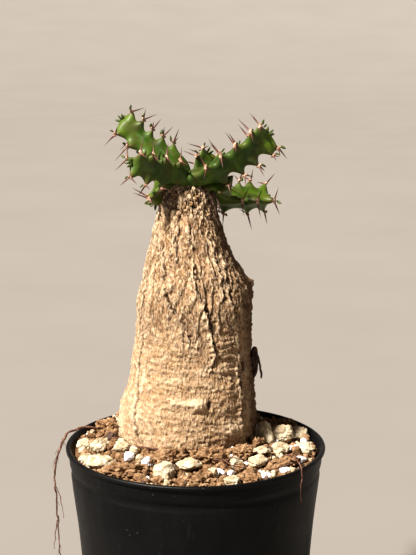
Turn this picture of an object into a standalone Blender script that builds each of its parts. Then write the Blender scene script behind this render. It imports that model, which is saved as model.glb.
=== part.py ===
"""Potted spiny euphorbia: a wrinkled caudex with seven toothed branches in a round plastic pot.

Frame: the origin is the centre of the pot's flat base, +Z is up, -Y is the front. Metres.
"""
import math
import random

import bmesh
import bpy
from mathutils import Matrix, Vector

# Pot
RIM_DIAMETER = 0.0900
POT_HEIGHT = 0.0850
BASE_DIAMETER = 0.0710
WALL = 0.0012
LIP_HEIGHT = 0.0016
BAND_HEIGHT = 0.0062
GROOVE_HEIGHT = 0.0030
GROOVE_DEPTH = 0.0006
DRAIN_HOLES = 6
DRAIN_DIAMETER = 0.0090
POT_FACETS = 48

# Soil
FILL_BELOW_RIM = 0.0028
MOUND_HEIGHT = 0.0034
MOUND_REACH = 0.0100

# Caudex
CAUDEX_HEIGHT = 0.0870
CAUDEX_GIRTH = 0.0480
CAUDEX_BEHIND_AXIS = 0.0080
BURIED_DEPTH = 0.0210
CROWN_HEIGHT = 0.0030
WRINKLE_DEPTH = 0.0005
SHOOT_HEIGHT = 0.0300

# Branches
BRANCH_THICKNESS = 0.0072
TOOTH_HEIGHT = 0.0022
TOOTH_PITCH = 0.0060
SPINE_LENGTH = 0.0052
SPINE_THICKNESS = 0.0008

# Least distance of a branch's neck from the crown's middle, in branch thicknesses
NECK_SPREAD = 1.05

# Roots
ROOT_THICKNESS = 0.0012

# Air left between pieces that touch
GAP = 0.0003
AROUND = 36

# Caudex outline: height as a share of CAUDEX_HEIGHT, width as a share of CAUDEX_GIRTH, sideways lean.
CAUDEX_OUTLINE = (
    (0.00, 1.00, -0.0031),
    (0.14, 0.96, -0.0026),
    (0.30, 0.86, -0.0011),
    (0.47, 0.81, -0.0006),
    (0.56, 0.80, -0.0002),
    (0.64, 0.74, -0.0004),
    (0.75, 0.58, -0.0018),
    (0.87, 0.44, -0.0024),
    (1.00, 0.31, -0.0027),
)

# Thickness of stem and girth of caudex that the branch paths below are laid out for.
PATHS_DRAWN_FOR = 0.0072
PATHS_DRAWN_ROUND = 0.048

# Branches: a point that the stem passes halfway and its tip, both from the crown, the turn of its ridges,
# and whether it bears spines. The stub is dead and has lost them.
BRANCHES = (
    ("branch_left_upper", (-0.0076, 0.0026, 0.0168), (-0.0203, 0.0068, 0.0294), 92.0, True),
    ("branch_left_front", (-0.0066, -0.0094, 0.0100), (-0.0184, -0.0152, 0.0146), 45.0, True),
    ("branch_left_back", (-0.0092, 0.0046, 0.0042), (-0.0150, 0.0074, 0.0014), 10.0, True),
    ("branch_centre", (0.0044, 0.0044, 0.0100), (0.0066, 0.0066, 0.0162), 100.0, True),
    ("branch_right_upper", (0.0114, -0.0092, 0.0134), (0.0270, -0.0124, 0.0247), 140.0, True),
    ("branch_right_stub", (0.0102, -0.0036, 0.0052), (0.0156, -0.0060, 0.0044), 75.0, False),
    ("branch_right_lower", (0.0136, 0.0066, 0.0008), (0.0282, 0.0120, -0.0010), 62.0, True),
)

# Stones: their middle in plan, width, depth and height, in millimetres.
PUMICE = (
    (-38.4, -1.3, 4.8, 4.4, 3.6),
    (-33.7, -6.4, 4.8, 4.6, 4.2),
    (-37.8, -12.6, 4.0, 4.2, 3.0),
    (-33.0, -22.0, 8.0, 6.6, 5.2),
    (-23.6, -8.6, 6.0, 4.6, 3.0),
    (-9.7, -31.2, 6.8, 6.0, 5.2),
    (-2.2, -25.3, 7.4, 5.0, 3.0),
    (13.6, -22.3, 4.2, 4.2, 3.4),
    (11.9, -36.6, 5.4, 4.6, 3.0),
    (5.9, -31.6, 3.6, 5.0, 4.0),
    (23.2, 1.4, 6.0, 4.8, 4.6),
    (30.6, 4.6, 8.0, 6.2, 5.0),
    (29.0, -7.4, 5.4, 5.0, 4.6),
    (20.6, -20.4, 6.0, 5.0, 4.0),
    (22.2, -11.0, 5.8, 4.2, 2.6),
    (38.0, -5.0, 6.0, 4.8, 3.6),
    (38.0, 13.0, 6.2, 5.0, 4.2),
    (-14.0, 36.4, 6.4, 5.2, 4.0),
    (17.0, 36.6, 5.6, 6.2, 4.4),
)
PERLITE = (
    (35.4, -13.4, 4.0, 3.6, 2.8),
    (23.6, -29.4, 4.2, 3.2, 2.6),
    (-22.4, -17.6, 3.8, 3.4, 2.8),
    (-15.4, -22.0, 3.9, 3.6, 3.8),
    (29.4, -25.4, 3.6, 3.2, 2.6),
)
AKADAMA = (
    (-10.4, -20.4, 7.8, 5.2, 4.0),
    (5.0, -20.6, 6.4, 5.2, 4.4),
    (16.2, -15.8, 5.4, 4.4, 3.6),
    (-24.2, -28.6, 9.4, 6.8, 4.6),
    (2.4, -37.4, 6.6, 5.2, 4.2),
    (19.6, -35.0, 5.4, 4.6, 3.4),
    (31.0, -19.6, 7.2, 5.2, 3.4),
    (33.4, 19.6, 5.2, 4.8, 3.4),
    (-31.6, 13.6, 5.2, 4.8, 3.4),
    (-26.0, 29.0, 7.0, 5.6, 4.0),
    (2.0, 38.4, 7.4, 4.8, 3.8),
)


def clear_scene():
    for item in list(bpy.data.objects):
        bpy.data.objects.remove(item, do_unlink=True)


def material(name, colour, roughness, metallic=0.0):
    made = bpy.data.materials.new(name)
    made.use_nodes = True
    shader = made.node_tree.nodes["Principled BSDF"]
    shader.inputs["Base Color"].default_value = (*colour, 1.0)
    shader.inputs["Roughness"].default_value = roughness
    shader.inputs["Metallic"].default_value = metallic
    made.diffuse_color = (*colour, 1.0)
    return made


def add_object(name, mesh, look, sharp=60.0):
    mesh.materials.append(look)
    mesh.shade_smooth()
    mesh.set_sharp_from_angle(angle=math.radians(sharp))
    item = bpy.data.objects.new(name, mesh)
    bpy.context.scene.collection.objects.link(item)
    return item


def loft(name, rings, start=None, end=None):
    """Closed skin through rings of equal count, each end closed by a fan to a point."""
    shape = bmesh.new()
    rows = [[shape.verts.new(point) for point in ring] for ring in rings]
    count = len(rows[0])
    for lower, upper in zip(rows, rows[1:]):
        for i in range(count):
            j = (i + 1) % count
            shape.faces.new((lower[i], lower[j], upper[j], upper[i]))
    first = shape.verts.new(start if start is not None else centre_of(rings[0]))
    last = shape.verts.new(end if end is not None else centre_of(rings[-1]))
    for i in range(count):
        j = (i + 1) % count
        shape.faces.new((first, rows[0][j], rows[0][i]))
        shape.faces.new((last, rows[-1][i], rows[-1][j]))
    mesh = bpy.data.meshes.new(name)
    shape.to_mesh(mesh)
    shape.free()
    return mesh


def centre_of(points):
    return sum(points, Vector()) / len(points)


def circle(radius, z, count):
    turn = 2.0 * math.pi / count
    return [Vector((radius * math.cos(i * turn), radius * math.sin(i * turn), z)) for i in range(count)]


def ease(value):
    value = min(1.0, max(0.0, value))
    return value * value * (3.0 - 2.0 * value)


# ---- Pot -----------------------------------------------------------------------------------------

def taper_radius(z):
    """Outer radius of the plain wall, without the rim band."""
    top = RIM_DIAMETER / 2.0 - 0.0009
    return BASE_DIAMETER / 2.0 + (top - BASE_DIAMETER / 2.0) * z / POT_HEIGHT


def inner_radius(z):
    return taper_radius(z) - WALL - GROOVE_DEPTH


def pot_profile():
    """Radius and height pairs up the outside, over the rolled lip and down the inside."""
    rim = RIM_DIAMETER / 2.0
    lip = POT_HEIGHT - LIP_HEIGHT
    band = POT_HEIGHT - BAND_HEIGHT
    groove = band - GROOVE_HEIGHT
    return (
        (BASE_DIAMETER / 2.0 - 0.0012, 0.0),
        (BASE_DIAMETER / 2.0 - 0.0003, 0.0004),
        (taper_radius(0.0020), 0.0020),
        (taper_radius(POT_HEIGHT * 0.45), POT_HEIGHT * 0.45),
        (taper_radius(groove), groove),
        (taper_radius(groove) - GROOVE_DEPTH, groove + 0.0010),
        (taper_radius(band) - GROOVE_DEPTH, band - 0.0008),
        (taper_radius(band) + 0.0002, band),
        (taper_radius(lip), lip - 0.0002),
        (rim - 0.0001, lip + 0.0003),
        (rim, POT_HEIGHT - 0.0006),
        (rim - 0.0005, POT_HEIGHT),
        (rim - 0.0014, POT_HEIGHT),
        (inner_radius(POT_HEIGHT) + 0.0002, POT_HEIGHT - 0.0007),
        (inner_radius(POT_HEIGHT - 0.0030), POT_HEIGHT - 0.0030),
        (inner_radius(POT_HEIGHT * 0.45), POT_HEIGHT * 0.45),
        (inner_radius(WALL + 0.0015), WALL + 0.0015),
        (inner_radius(WALL) - 0.0012, WALL),
    )


def drain_cutter():
    shape = bmesh.new()
    for i in range(DRAIN_HOLES):
        turn = 2.0 * math.pi * (i + 0.5) / DRAIN_HOLES
        reach = BASE_DIAMETER * 0.31
        place = Matrix.Translation((reach * math.cos(turn), reach * math.sin(turn), WALL / 2.0))
        bmesh.ops.create_cone(
            shape, cap_ends=True, segments=16, depth=WALL * 4.0,
            radius1=DRAIN_DIAMETER / 2.0, radius2=DRAIN_DIAMETER / 2.0, matrix=place,
        )
    mesh = bpy.data.meshes.new("drain_cutter")
    shape.to_mesh(mesh)
    shape.free()
    return mesh


def hide_tool(item):
    item.hide_render = True
    item.display_type = "WIRE"


def build_pot():
    look = material("pot_plastic", (0.012, 0.012, 0.013), 0.45)
    rings = [circle(radius, z, POT_FACETS) for radius, z in pot_profile()]
    pot = add_object("pot", loft("pot", rings), look, 35.0)
    holes = add_object("drain_holes", drain_cutter(), look)
    hide_tool(holes)
    cut = pot.modifiers.new("drain holes", "BOOLEAN")
    cut.operation = "DIFFERENCE"
    cut.solver = "EXACT"
    cut.object = holes


# ---- Caudex --------------------------------------------------------------------------------------

def outline_at(share):
    """Width share and lean at a share of the height, smooth between the outline's rows."""
    rows = CAUDEX_OUTLINE
    i = 0
    while i < len(rows) - 2 and share > rows[i + 1][0]:
        i += 1
    low, high = rows[i], rows[i + 1]
    step = high[0] - low[0]
    t = (share - low[0]) / step
    values = []
    for column in (1, 2):
        before, after = rows[max(i - 1, 0)], rows[min(i + 2, len(rows) - 1)]
        slope_low = (high[column] - before[column]) / (high[0] - before[0])
        slope_high = (after[column] - low[column]) / (after[0] - low[0])
        values.append(
            (2 * t**3 - 3 * t**2 + 1) * low[column] + (t**3 - 2 * t**2 + t) * slope_low * step
            + (3 * t**2 - 2 * t**3) * high[column] + (t**3 - t**2) * slope_high * step
        )
    return values[0], values[1]


def soil_level():
    return POT_HEIGHT - FILL_BELOW_RIM + MOUND_HEIGHT


def bump(turn, share, at_turn, at_share, spread, height):
    away = math.atan2(math.sin(turn - at_turn), math.cos(turn - at_turn)) * 0.5
    up = (share - at_share) * CAUDEX_HEIGHT / CAUDEX_GIRTH
    return height * math.exp(-(away * away + up * up) / (spread * spread))


def wrinkle(turn, share):
    """Creases and knobs of the bark, fading out at the crown and below the soil."""
    creases = 0.6 * math.sin(9.0 * turn + 5.0 * share) + 0.5 * math.sin(5.0 * turn - 7.0 * share + 1.0)
    rolls = 0.6 * math.sin(46.0 * share + 1.6 * math.sin(2.0 * turn)) * (1.0 - ease(share * 1.6))
    knobs = bump(turn, share, 0.0, 0.62, 0.10, 2.2) + bump(turn, share, -1.45, 0.20, 0.09, 1.6)
    knobs += bump(turn, share, -2.4, 0.08, 0.16, 1.6) + bump(turn, share, 2.2, 0.45, 0.12, 1.6)
    fade = ease(share * 12.0) * ease((1.0 - share) * 8.0)
    return WRINKLE_DEPTH * fade * (creases + rolls + knobs)


def caudex_point(turn, share, out=0.0):
    """Point on the bark at a turn around the axis and a share of the height, moved out."""
    width, lean = outline_at(share)
    radius = CAUDEX_GIRTH / 2.0 * width + wrinkle(turn, share) + out
    z = soil_level() + CAUDEX_HEIGHT * share
    return Vector((lean + radius * math.cos(turn), CAUDEX_BEHIND_AXIS + radius * math.sin(turn), z))


def buried_rings(out):
    """Rings of the rounded underside, from the bottom up to just below the soil."""
    lean = CAUDEX_OUTLINE[0][2]
    rings = []
    for i in range(1, 7):
        angle = math.pi / 2.0 * i / 7.0
        radius = (CAUDEX_GIRTH / 2.0 + out) * math.sin(angle)
        z = soil_level() - (BURIED_DEPTH + out) * math.cos(angle)
        ring = circle(radius, z, AROUND)
        rings.append([point + Vector((lean, CAUDEX_BEHIND_AXIS, 0.0)) for point in ring])
    return rings


def crown_centre():
    lean = CAUDEX_OUTLINE[-1][2]
    return Vector((lean, CAUDEX_BEHIND_AXIS, soil_level() + CAUDEX_HEIGHT * 0.955))


def build_caudex():
    look = material("caudex_bark", (0.56, 0.42, 0.27), 0.85)
    turns = [2.0 * math.pi * i / AROUND for i in range(AROUND)]
    rings = buried_rings(0.0)
    steps = 24
    for k in range(steps + 1):
        rings.append([caudex_point(turn, k / steps) for turn in turns])
    top = centre_of(rings[-1])
    for angle in (30.0, 60.0):
        ring = []
        for point in rings[6 + steps]:
            flat = (point - top) * math.cos(math.radians(angle))
            ring.append(top + flat + Vector((0.0, 0.0, CROWN_HEIGHT * math.sin(math.radians(angle)))))
        rings.append(ring)
    bottom = Vector((CAUDEX_OUTLINE[0][2], CAUDEX_BEHIND_AXIS, soil_level() - BURIED_DEPTH))
    mesh = loft("caudex", rings, bottom, top + Vector((0.0, 0.0, CROWN_HEIGHT)))
    add_object("caudex", mesh, look, 70.0)


# ---- Soil ----------------------------------------------------------------------------------------

def soil_top(point):
    """Height of the soil: level at the wall, mounded toward the caudex, slightly uneven."""
    foot = Vector((CAUDEX_OUTLINE[0][2], CAUDEX_BEHIND_AXIS, 0.0))
    away = math.hypot(point.x - foot.x, point.y - foot.y) - CAUDEX_GIRTH / 2.0
    mound = MOUND_HEIGHT * math.exp(-(max(away, 0.0) / MOUND_REACH) ** 2)
    uneven = 0.0003 * math.sin(point.x * 430.0 + 1.0) * math.sin(point.y * 390.0)
    return POT_HEIGHT - FILL_BELOW_RIM + mound + uneven * ease(away / 0.004)


def build_soil():
    look = material("soil_mix", (0.30, 0.22, 0.14), 0.95)
    floor = WALL + GAP
    edge = POT_HEIGHT - FILL_BELOW_RIM
    rings = []
    for z in (floor, floor + 0.0030, POT_HEIGHT * 0.45, edge - 0.0040):
        inset = GAP * 2.0 + (0.0016 if z == floor else 0.0)
        rings.append(circle(inner_radius(z) - inset, z, AROUND))
    outer = circle(inner_radius(edge) - GAP * 2.0, edge, AROUND)
    socket = buried_rings(GAP * 1.4)
    turns = [2.0 * math.pi * i / AROUND for i in range(AROUND)]
    inner = [caudex_point(turn, 0.0, GAP * 1.4) for turn in turns]
    across = 10
    for k in range(across + 1):
        share = k / across
        ring = []
        for far, near in zip(outer, inner):
            point = far.lerp(near, share)
            point.z = soil_top(point)
            ring.append(point)
        rings.append(ring)
    for ring in reversed(socket):
        rings.append(ring)
    bottom = Vector((CAUDEX_OUTLINE[0][2], CAUDEX_BEHIND_AXIS, soil_level() - BURIED_DEPTH - GAP * 1.4))
    add_object("soil_bed", loft("soil_bed", rings, None, bottom), look, 80.0)


# ---- Branches ------------------------------------------------------------------------------------

def stem_path(via, tip):
    """Points of the stem's centre line every half millimetre, from the crown's centre to the tip."""
    start = crown_centre()
    size = max(BRANCH_THICKNESS / PATHS_DRAWN_FOR, CAUDEX_GIRTH / PATHS_DRAWN_ROUND)
    end = start + Vector(tip) * size
    pull = (start + Vector(via) * size) * 2.0 - (start + end) * 0.5
    count = 200
    fine = []
    for i in range(count + 1):
        t = i / count
        fine.append(start * (1 - t) ** 2 + pull * 2.0 * t * (1 - t) + end * t * t)
    return fine


def clears_caudex(centre, heading, radius):
    """True where a disc across the stem stays outside the caudex."""
    side = heading.orthogonal().normalized()
    other = heading.cross(side)
    for i in range(12):
        turn = 2.0 * math.pi * i / 12
        point = centre + (side * math.cos(turn) + other * math.sin(turn)) * radius
        share = (point.z - soil_level()) / CAUDEX_HEIGHT
        if share > 1.0 + (CROWN_HEIGHT + GAP * 1.5) / CAUDEX_HEIGHT:
            continue
        width, lean = outline_at(min(share, 1.0))
        reach = CAUDEX_GIRTH / 2.0 * width + WRINKLE_DEPTH
        if math.hypot(point.x - lean, point.y - CAUDEX_BEHIND_AXIS) < reach + GAP * 1.5:
            return False
    return True


def trimmed_path(via, tip, neck):
    """The stem's path from where its neck clears the caudex and the other necks."""
    fine = stem_path(via, tip)
    first = 0
    while first < len(fine) - 12:
        heading = (fine[first + 1] - fine[first]).normalized()
        spread = (fine[first] - fine[0]).length
        if spread > NECK_SPREAD * BRANCH_THICKNESS and clears_caudex(fine[first], heading, neck):
            break
        first += 1
    return fine[first:]


def measured(points):
    """Running length at each point of a path."""
    lengths = [0.0]
    for low, high in zip(points, points[1:]):
        lengths.append(lengths[-1] + (high - low).length)
    return lengths


def place_at(points, lengths, s):
    """Point and heading at a running length."""
    k = 0
    while k < len(points) - 2 and lengths[k + 1] < s:
        k += 1
    share = (s - lengths[k]) / (lengths[k + 1] - lengths[k])
    place = points[k].lerp(points[k + 1], min(1.0, max(0.0, share)))
    return place, (points[k + 1] - points[k]).normalized()


def last_tooth(length):
    return length - 0.0022


def stem_stations(length):
    """Running lengths of the stem's sections, so that one lies on every tooth."""
    stations = [length, length - 0.0006, length - 0.0013]
    s = last_tooth(length)
    while s > TOOTH_PITCH * 0.12:
        stations.append(s)
        s -= TOOTH_PITCH / 4.0
    stations.append(0.0)
    return reversed(stations)


def stem_axes(heading):
    up = Vector((0.0, 0.0, 1.0))
    above = (up - heading * up.dot(heading)).normalized()
    return above.cross(heading), above


def stem_scale(s, length):
    """Narrow neck at the crown, full stem, rounded tip."""
    neck = 0.50 + 0.50 * ease(s / (BRANCH_THICKNESS * 0.90))
    left = max(0.0, length - s) / (BRANCH_THICKNESS * 0.42)
    blunt = math.sqrt(max(0.0, 1.0 - (1.0 - min(1.0, left + 0.25)) ** 2))
    return neck * blunt


def tooth_swell(s, length):
    """1 at a tooth, 0 midway between two."""
    phase = (last_tooth(length) - s) / TOOTH_PITCH
    wave = 0.5 + 0.5 * math.cos(2.0 * math.pi * phase)
    return wave**1.4 * ease(s / (BRANCH_THICKNESS * 0.42) - 1.0)


def ridge_reach(s, length):
    core = BRANCH_THICKNESS / 2.0
    return (core * 1.12 + TOOTH_HEIGHT * tooth_swell(s, length)) * stem_scale(s, length)


def stem_ring(place, heading, s, length, roll):
    core = BRANCH_THICKNESS / 2.0 * stem_scale(s, length)
    side, above = stem_axes(heading)
    ring = []
    for i in range(12):
        turn = math.radians(roll + 30.0 * i)
        from_ridge = i % 4
        reach = core * 0.80
        if from_ridge == 0:
            reach = ridge_reach(s, length)
        elif from_ridge in (1, 3):
            reach = core * 0.96
        ring.append(place + (side * math.cos(turn) + above * math.sin(turn)) * reach)
    return ring


def add_spine(shape, base, heading):
    """Thin three-sided spine from inside a tooth."""
    side = heading.orthogonal().normalized()
    other = heading.cross(side)
    tip = base + heading * (SPINE_LENGTH + 0.0012)
    rows = []
    for centre, radius in ((base, SPINE_THICKNESS / 2.0), (tip, SPINE_THICKNESS * 0.14)):
        row = []
        for i in range(3):
            turn = 2.0 * math.pi * i / 3
            row.append(shape.verts.new(centre + (side * math.cos(turn) + other * math.sin(turn)) * radius))
        rows.append(row)
    for i in range(3):
        j = (i + 1) % 3
        shape.faces.new((rows[0][i], rows[0][j], rows[1][j], rows[1][i]))
    shape.faces.new(reversed(rows[0]))
    shape.faces.new(rows[1])


def spine_mesh(name, path, lengths, roll):
    """Two spines on each tooth of each ridge, one to either side."""
    shape = bmesh.new()
    length = lengths[-1]
    s = last_tooth(length)
    while s > BRANCH_THICKNESS * 0.70:
        place, heading = place_at(path, lengths, s)
        side, above = stem_axes(heading)
        for ridge in range(3):
            turn = math.radians(roll + 120.0 * ridge)
            out = side * math.cos(turn) + above * math.sin(turn)
            across = heading.cross(out)
            base = place + out * (ridge_reach(s, length) - 0.0016)
            for sign in (-1.0, 1.0):
                point = (out + across * sign * 0.75 + heading * 0.25).normalized()
                add_spine(shape, base + across * sign * SPINE_THICKNESS * 0.58, point)
        s -= TOOTH_PITCH
    mesh = bpy.data.meshes.new(name)
    shape.to_mesh(mesh)
    shape.free()
    return mesh


def add_spines(stem, path, lengths, roll, look):
    name = stem.name + "_spines"
    spines = add_object(name, spine_mesh(name, path, lengths, roll), look)
    hide_tool(spines)
    join = stem.modifiers.new("spines", "BOOLEAN")
    join.operation = "UNION"
    join.solver = "EXACT"
    join.object = spines


def build_branch(name, via, tip, roll, spiny):
    look = material(name + "_skin", (0.10, 0.20, 0.05), 0.40)
    path = trimmed_path(via, tip, BRANCH_THICKNESS * 0.28)
    lengths = measured(path)
    rings = []
    for s in stem_stations(lengths[-1]):
        place, heading = place_at(path, lengths, s)
        rings.append(stem_ring(place, heading, s, lengths[-1], roll))
    stem = add_object(name, loft(name, rings), look, 50.0)
    if spiny:
        add_spines(stem, path, lengths, roll, look)


# ---- Stones --------------------------------------------------------------------------------------

class Stone:
    """One loose stone: its plan place follows the pot's width, its own size does not."""

    def __init__(self, name, row, look):
        self.name = name
        self.look = look
        spread = (RIM_DIAMETER / 2.0) / 0.045 / 1000.0
        self.place = Vector((row[0] * spread, row[1] * spread, 0.0))
        self.size = Vector(row[2:5]) / 1000.0
        self.radius = max(row[2], row[3]) / 2000.0


def keep_inside(stone):
    """Push a stone off the pot's wall and off the caudex."""
    limit = inner_radius(POT_HEIGHT - FILL_BELOW_RIM) - stone.radius - GAP * 2.0
    if stone.place.length > limit:
        stone.place *= limit / stone.place.length
    foot = Vector((CAUDEX_OUTLINE[0][2], CAUDEX_BEHIND_AXIS, 0.0))
    away = stone.place - foot
    near = CAUDEX_GIRTH / 2.0 + 0.0008 + stone.radius + GAP
    if away.length < near:
        stone.place = foot + away * (near / away.length)
    for knot in root_left_knots()[:3] + root_right_knots()[:3] + tuple(smooth_curve(lying_root_knots())):
        away = stone.place - Vector((knot.x, knot.y, 0.0))
        near = ROOT_THICKNESS / 2.0 + stone.radius + GAP
        if away.length < near:
            stone.place += away * (near / away.length - 1.0)


def settle(stones):
    """Move the stones apart in plan until none touches another."""
    for _ in range(300):
        for i, one in enumerate(stones):
            for other in stones[i + 1:]:
                apart = other.place - one.place
                need = one.radius + other.radius + GAP
                if apart.length < need:
                    push = apart.normalized() * (need - apart.length) * 0.5
                    one.place -= push
                    other.place += push
        for stone in stones:
            keep_inside(stone)


def stone_mesh(stone, seed):
    """Angular pebble: a sphere with its faces chipped flat."""
    chance = random.Random(seed)
    shape = bmesh.new()
    bmesh.ops.create_icosphere(shape, subdivisions=2, radius=0.5)
    chips = []
    for _ in range(7):
        facing = Vector((chance.uniform(-1, 1), chance.uniform(-1, 1), chance.uniform(-1, 1))).normalized()
        chips.append((facing, chance.uniform(0.34, 0.44)))
    for vertex in shape.verts:
        for facing, depth in chips:
            over = vertex.co.dot(facing) - depth
            if over > 0.0:
                vertex.co -= facing * over * 0.85
        vertex.co = Vector([vertex.co[k] * stone.size[k] for k in range(3)])
    mesh = bpy.data.meshes.new(stone.name)
    shape.to_mesh(mesh)
    shape.free()
    return mesh


def build_stones():
    kinds = (
        ("pumice", PUMICE, (0.66, 0.58, 0.40)),
        ("perlite", PERLITE, (0.78, 0.76, 0.74)),
        ("akadama", AKADAMA, (0.36, 0.22, 0.11)),
        ("bark_chip", ((-28.2, 1.6, 4.6, 4.0, 3.0),), (0.10, 0.07, 0.05)),
    )
    stones = []
    for kind, rows, colour in kinds:
        look = material(kind + "_stone", colour, 0.95)
        for number, row in enumerate(rows, 1):
            stones.append(Stone(f"{kind}_{number:02d}", row, look))
    settle(stones)
    for seed, stone in enumerate(stones):
        item = add_object(stone.name, stone_mesh(stone, seed), stone.look, 25.0)
        low = max(
            soil_top(stone.place + Vector((math.cos(turn), math.sin(turn), 0.0)) * stone.radius * 0.8)
            for turn in (0.0, 1.05, 2.09, 3.14, 4.19, 5.24)
        )
        item.location = (stone.place.x, stone.place.y, low + stone.size.z * 0.48 + GAP)


# ---- Roots and dry bits --------------------------------------------------------------------------

def smooth_curve(knots, per_span=3):
    """Catmull-Rom points through the knots."""
    points = []
    for i in range(len(knots) - 1):
        a, b = knots[max(i - 1, 0)], knots[i]
        c, d = knots[i + 1], knots[min(i + 2, len(knots) - 1)]
        for k in range(per_span):
            t = k / per_span
            points.append(0.5 * (
                b * 2.0 + (c - a) * t + (a * 2.0 - b * 5.0 + c * 4.0 - d) * t * t
                + (b * 3.0 - a - c * 3.0 + d) * t**3
            ))
    points.append(knots[-1])
    return points


def strand_mesh(name, knots, thick, thin):
    """Tapered round strand; its sections turn with the path so that it never twists."""
    points = smooth_curve(knots)
    rings = []
    side = (points[1] - points[0]).orthogonal().normalized()
    for i, point in enumerate(points):
        heading = (points[min(i + 1, len(points) - 1)] - points[max(i - 1, 0)]).normalized()
        side = (side - heading * side.dot(heading)).normalized()
        other = heading.cross(side)
        radius = (thick + (thin - thick) * i / (len(points) - 1)) / 2.0
        ring = []
        for k in range(6):
            turn = 2.0 * math.pi * k / 6
            ring.append(point + (side * math.cos(turn) + other * math.sin(turn)) * radius)
        rings.append(ring)
    return loft(name, rings)


def rim_point(turn, out, up):
    """Point beside the rim: degrees around the pot, distance outside it, height over its top."""
    reach = RIM_DIAMETER / 2.0 + out
    angle = math.radians(turn)
    return Vector((reach * math.cos(angle), reach * math.sin(angle), POT_HEIGHT + up))


def root_left_knots():
    return (
        rim_point(165.0, -0.0060, 0.0022),
        rim_point(169.0, -0.0030, 0.0025),
        rim_point(174.0, 0.0000, 0.0018),
        rim_point(177.0, 0.0020, -0.0010),
        rim_point(179.0, 0.0034, -0.0060),
        rim_point(180.0, 0.0044, -0.0120),
        rim_point(180.0, 0.0040, -0.0200),
        rim_point(180.0, 0.0034, -0.0290),
        rim_point(181.0, 0.0036, -0.0360),
        rim_point(180.0, 0.0028, -0.0440),
    )


def root_right_knots():
    return (
        rim_point(-36.0, -0.0070, 0.0030),
        rim_point(-38.0, -0.0030, 0.0028),
        rim_point(-40.0, 0.0002, 0.0018),
        rim_point(-41.0, 0.0018, -0.0020),
        rim_point(-41.0, 0.0020, -0.0060),
        rim_point(-40.5, 0.0012, -0.0105),
    )


def lying_root_knots():
    """Root that lies on the soil along the foot of the caudex."""
    turns = (-2.32, -2.06, -1.80, -1.54, -1.28)
    lift = Vector((0.0, 0.0, 0.0014))
    return tuple(caudex_point(turn, 0.0, ROOT_THICKNESS + 0.0005) + lift for turn in turns)


def build_root_left():
    """Long root that climbs over the rim and hangs down outside, with two side roots."""
    look = material("root_left_skin", (0.22, 0.13, 0.07), 0.8)
    main = root_left_knots()
    name = "root_over_rim_left"
    root = add_object(name, strand_mesh(name, main, ROOT_THICKNESS, 0.0005), look)
    upper = (main[5], rim_point(181.5, 0.0036, -0.0170), rim_point(182.0, 0.0014, -0.0270))
    lower = (main[7], rim_point(178.5, 0.0046, -0.0340), rim_point(178.0, 0.0058, -0.0390))
    for number, knots in enumerate((upper, lower), 1):
        name = f"root_left_side_{number}"
        side = add_object(name, strand_mesh(name, knots, 0.0007, 0.0003), look)
        hide_tool(side)
        join = root.modifiers.new(name, "BOOLEAN")
        join.operation = "UNION"
        join.solver = "EXACT"
        join.object = side


def build_strands():
    """Short root over the right of the rim, root on the soil, dry shoot and dry stalk on the caudex."""
    look = material("dry_strands", (0.20, 0.12, 0.07), 0.85)
    share = SHOOT_HEIGHT / CAUDEX_HEIGHT
    shoot = (
        caudex_point(0.0, share, 0.0010),
        caudex_point(0.0, share + 0.012, 0.0018),
        caudex_point(0.0, share - 0.010, 0.0028),
        caudex_point(0.0, share - 0.045, 0.0030),
        caudex_point(0.0, share - 0.090, 0.0034),
    )
    stalk = (
        caudex_point(-0.70, 0.955, 0.0011),
        caudex_point(-0.62, 0.925, 0.0020),
        caudex_point(-0.55, 0.895, 0.0022),
        caudex_point(-0.50, 0.860, 0.0016),
    )
    rows = (
        ("root_over_rim_right", root_right_knots(), 0.0010, 0.0004),
        ("root_on_soil", lying_root_knots(), ROOT_THICKNESS, 0.0006),
        ("dry_shoot", shoot, 0.0014, 0.0004),
        ("dry_stalk", stalk, 0.0012, 0.0005),
    )
    for name, knots, thick, thin in rows:
        add_object(name, strand_mesh(name, knots, thick, thin), look)


clear_scene()
build_pot()
build_soil()
build_caudex()
for branch in BRANCHES:
    build_branch(*branch)
build_stones()
build_root_left()
build_strands()
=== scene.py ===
import math
import random

import bpy
from mathutils import Matrix, Vector, noise


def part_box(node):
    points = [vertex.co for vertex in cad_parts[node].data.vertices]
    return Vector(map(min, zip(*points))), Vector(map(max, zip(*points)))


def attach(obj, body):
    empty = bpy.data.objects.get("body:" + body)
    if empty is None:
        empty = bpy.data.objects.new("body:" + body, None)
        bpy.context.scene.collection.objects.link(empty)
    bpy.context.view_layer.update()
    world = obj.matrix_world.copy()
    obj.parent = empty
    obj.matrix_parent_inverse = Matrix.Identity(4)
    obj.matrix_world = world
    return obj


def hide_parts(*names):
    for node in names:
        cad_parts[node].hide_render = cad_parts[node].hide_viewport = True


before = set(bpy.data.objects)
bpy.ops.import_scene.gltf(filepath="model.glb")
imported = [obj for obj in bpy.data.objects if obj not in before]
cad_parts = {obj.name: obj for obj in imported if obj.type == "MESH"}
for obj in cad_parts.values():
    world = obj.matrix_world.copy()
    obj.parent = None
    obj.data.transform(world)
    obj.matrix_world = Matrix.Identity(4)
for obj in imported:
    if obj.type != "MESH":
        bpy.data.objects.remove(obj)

noise.seed_set(11)  # without a seed, the noise vectors change with the time of day

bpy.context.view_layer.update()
potLow, potHigh = [Vector(corner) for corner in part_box("pot")]
trunkHigh = Vector(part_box("caudex")[1])
rimHeight = potHigh.z
rimRadius = (potHigh.x - potLow.x) / 2


# small tools used by every piece

def ease(value):
    value = min(1.0, max(0.0, value))
    return value * value * (3 - 2 * value)


def mix(first, second, share):
    return first + (second - first) * share


def deselectAll():
    bpy.ops.object.select_all(action="DESELECT")


def pick(piece):
    deselectAll()
    piece.select_set(True)
    bpy.context.view_layer.objects.active = piece


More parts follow.
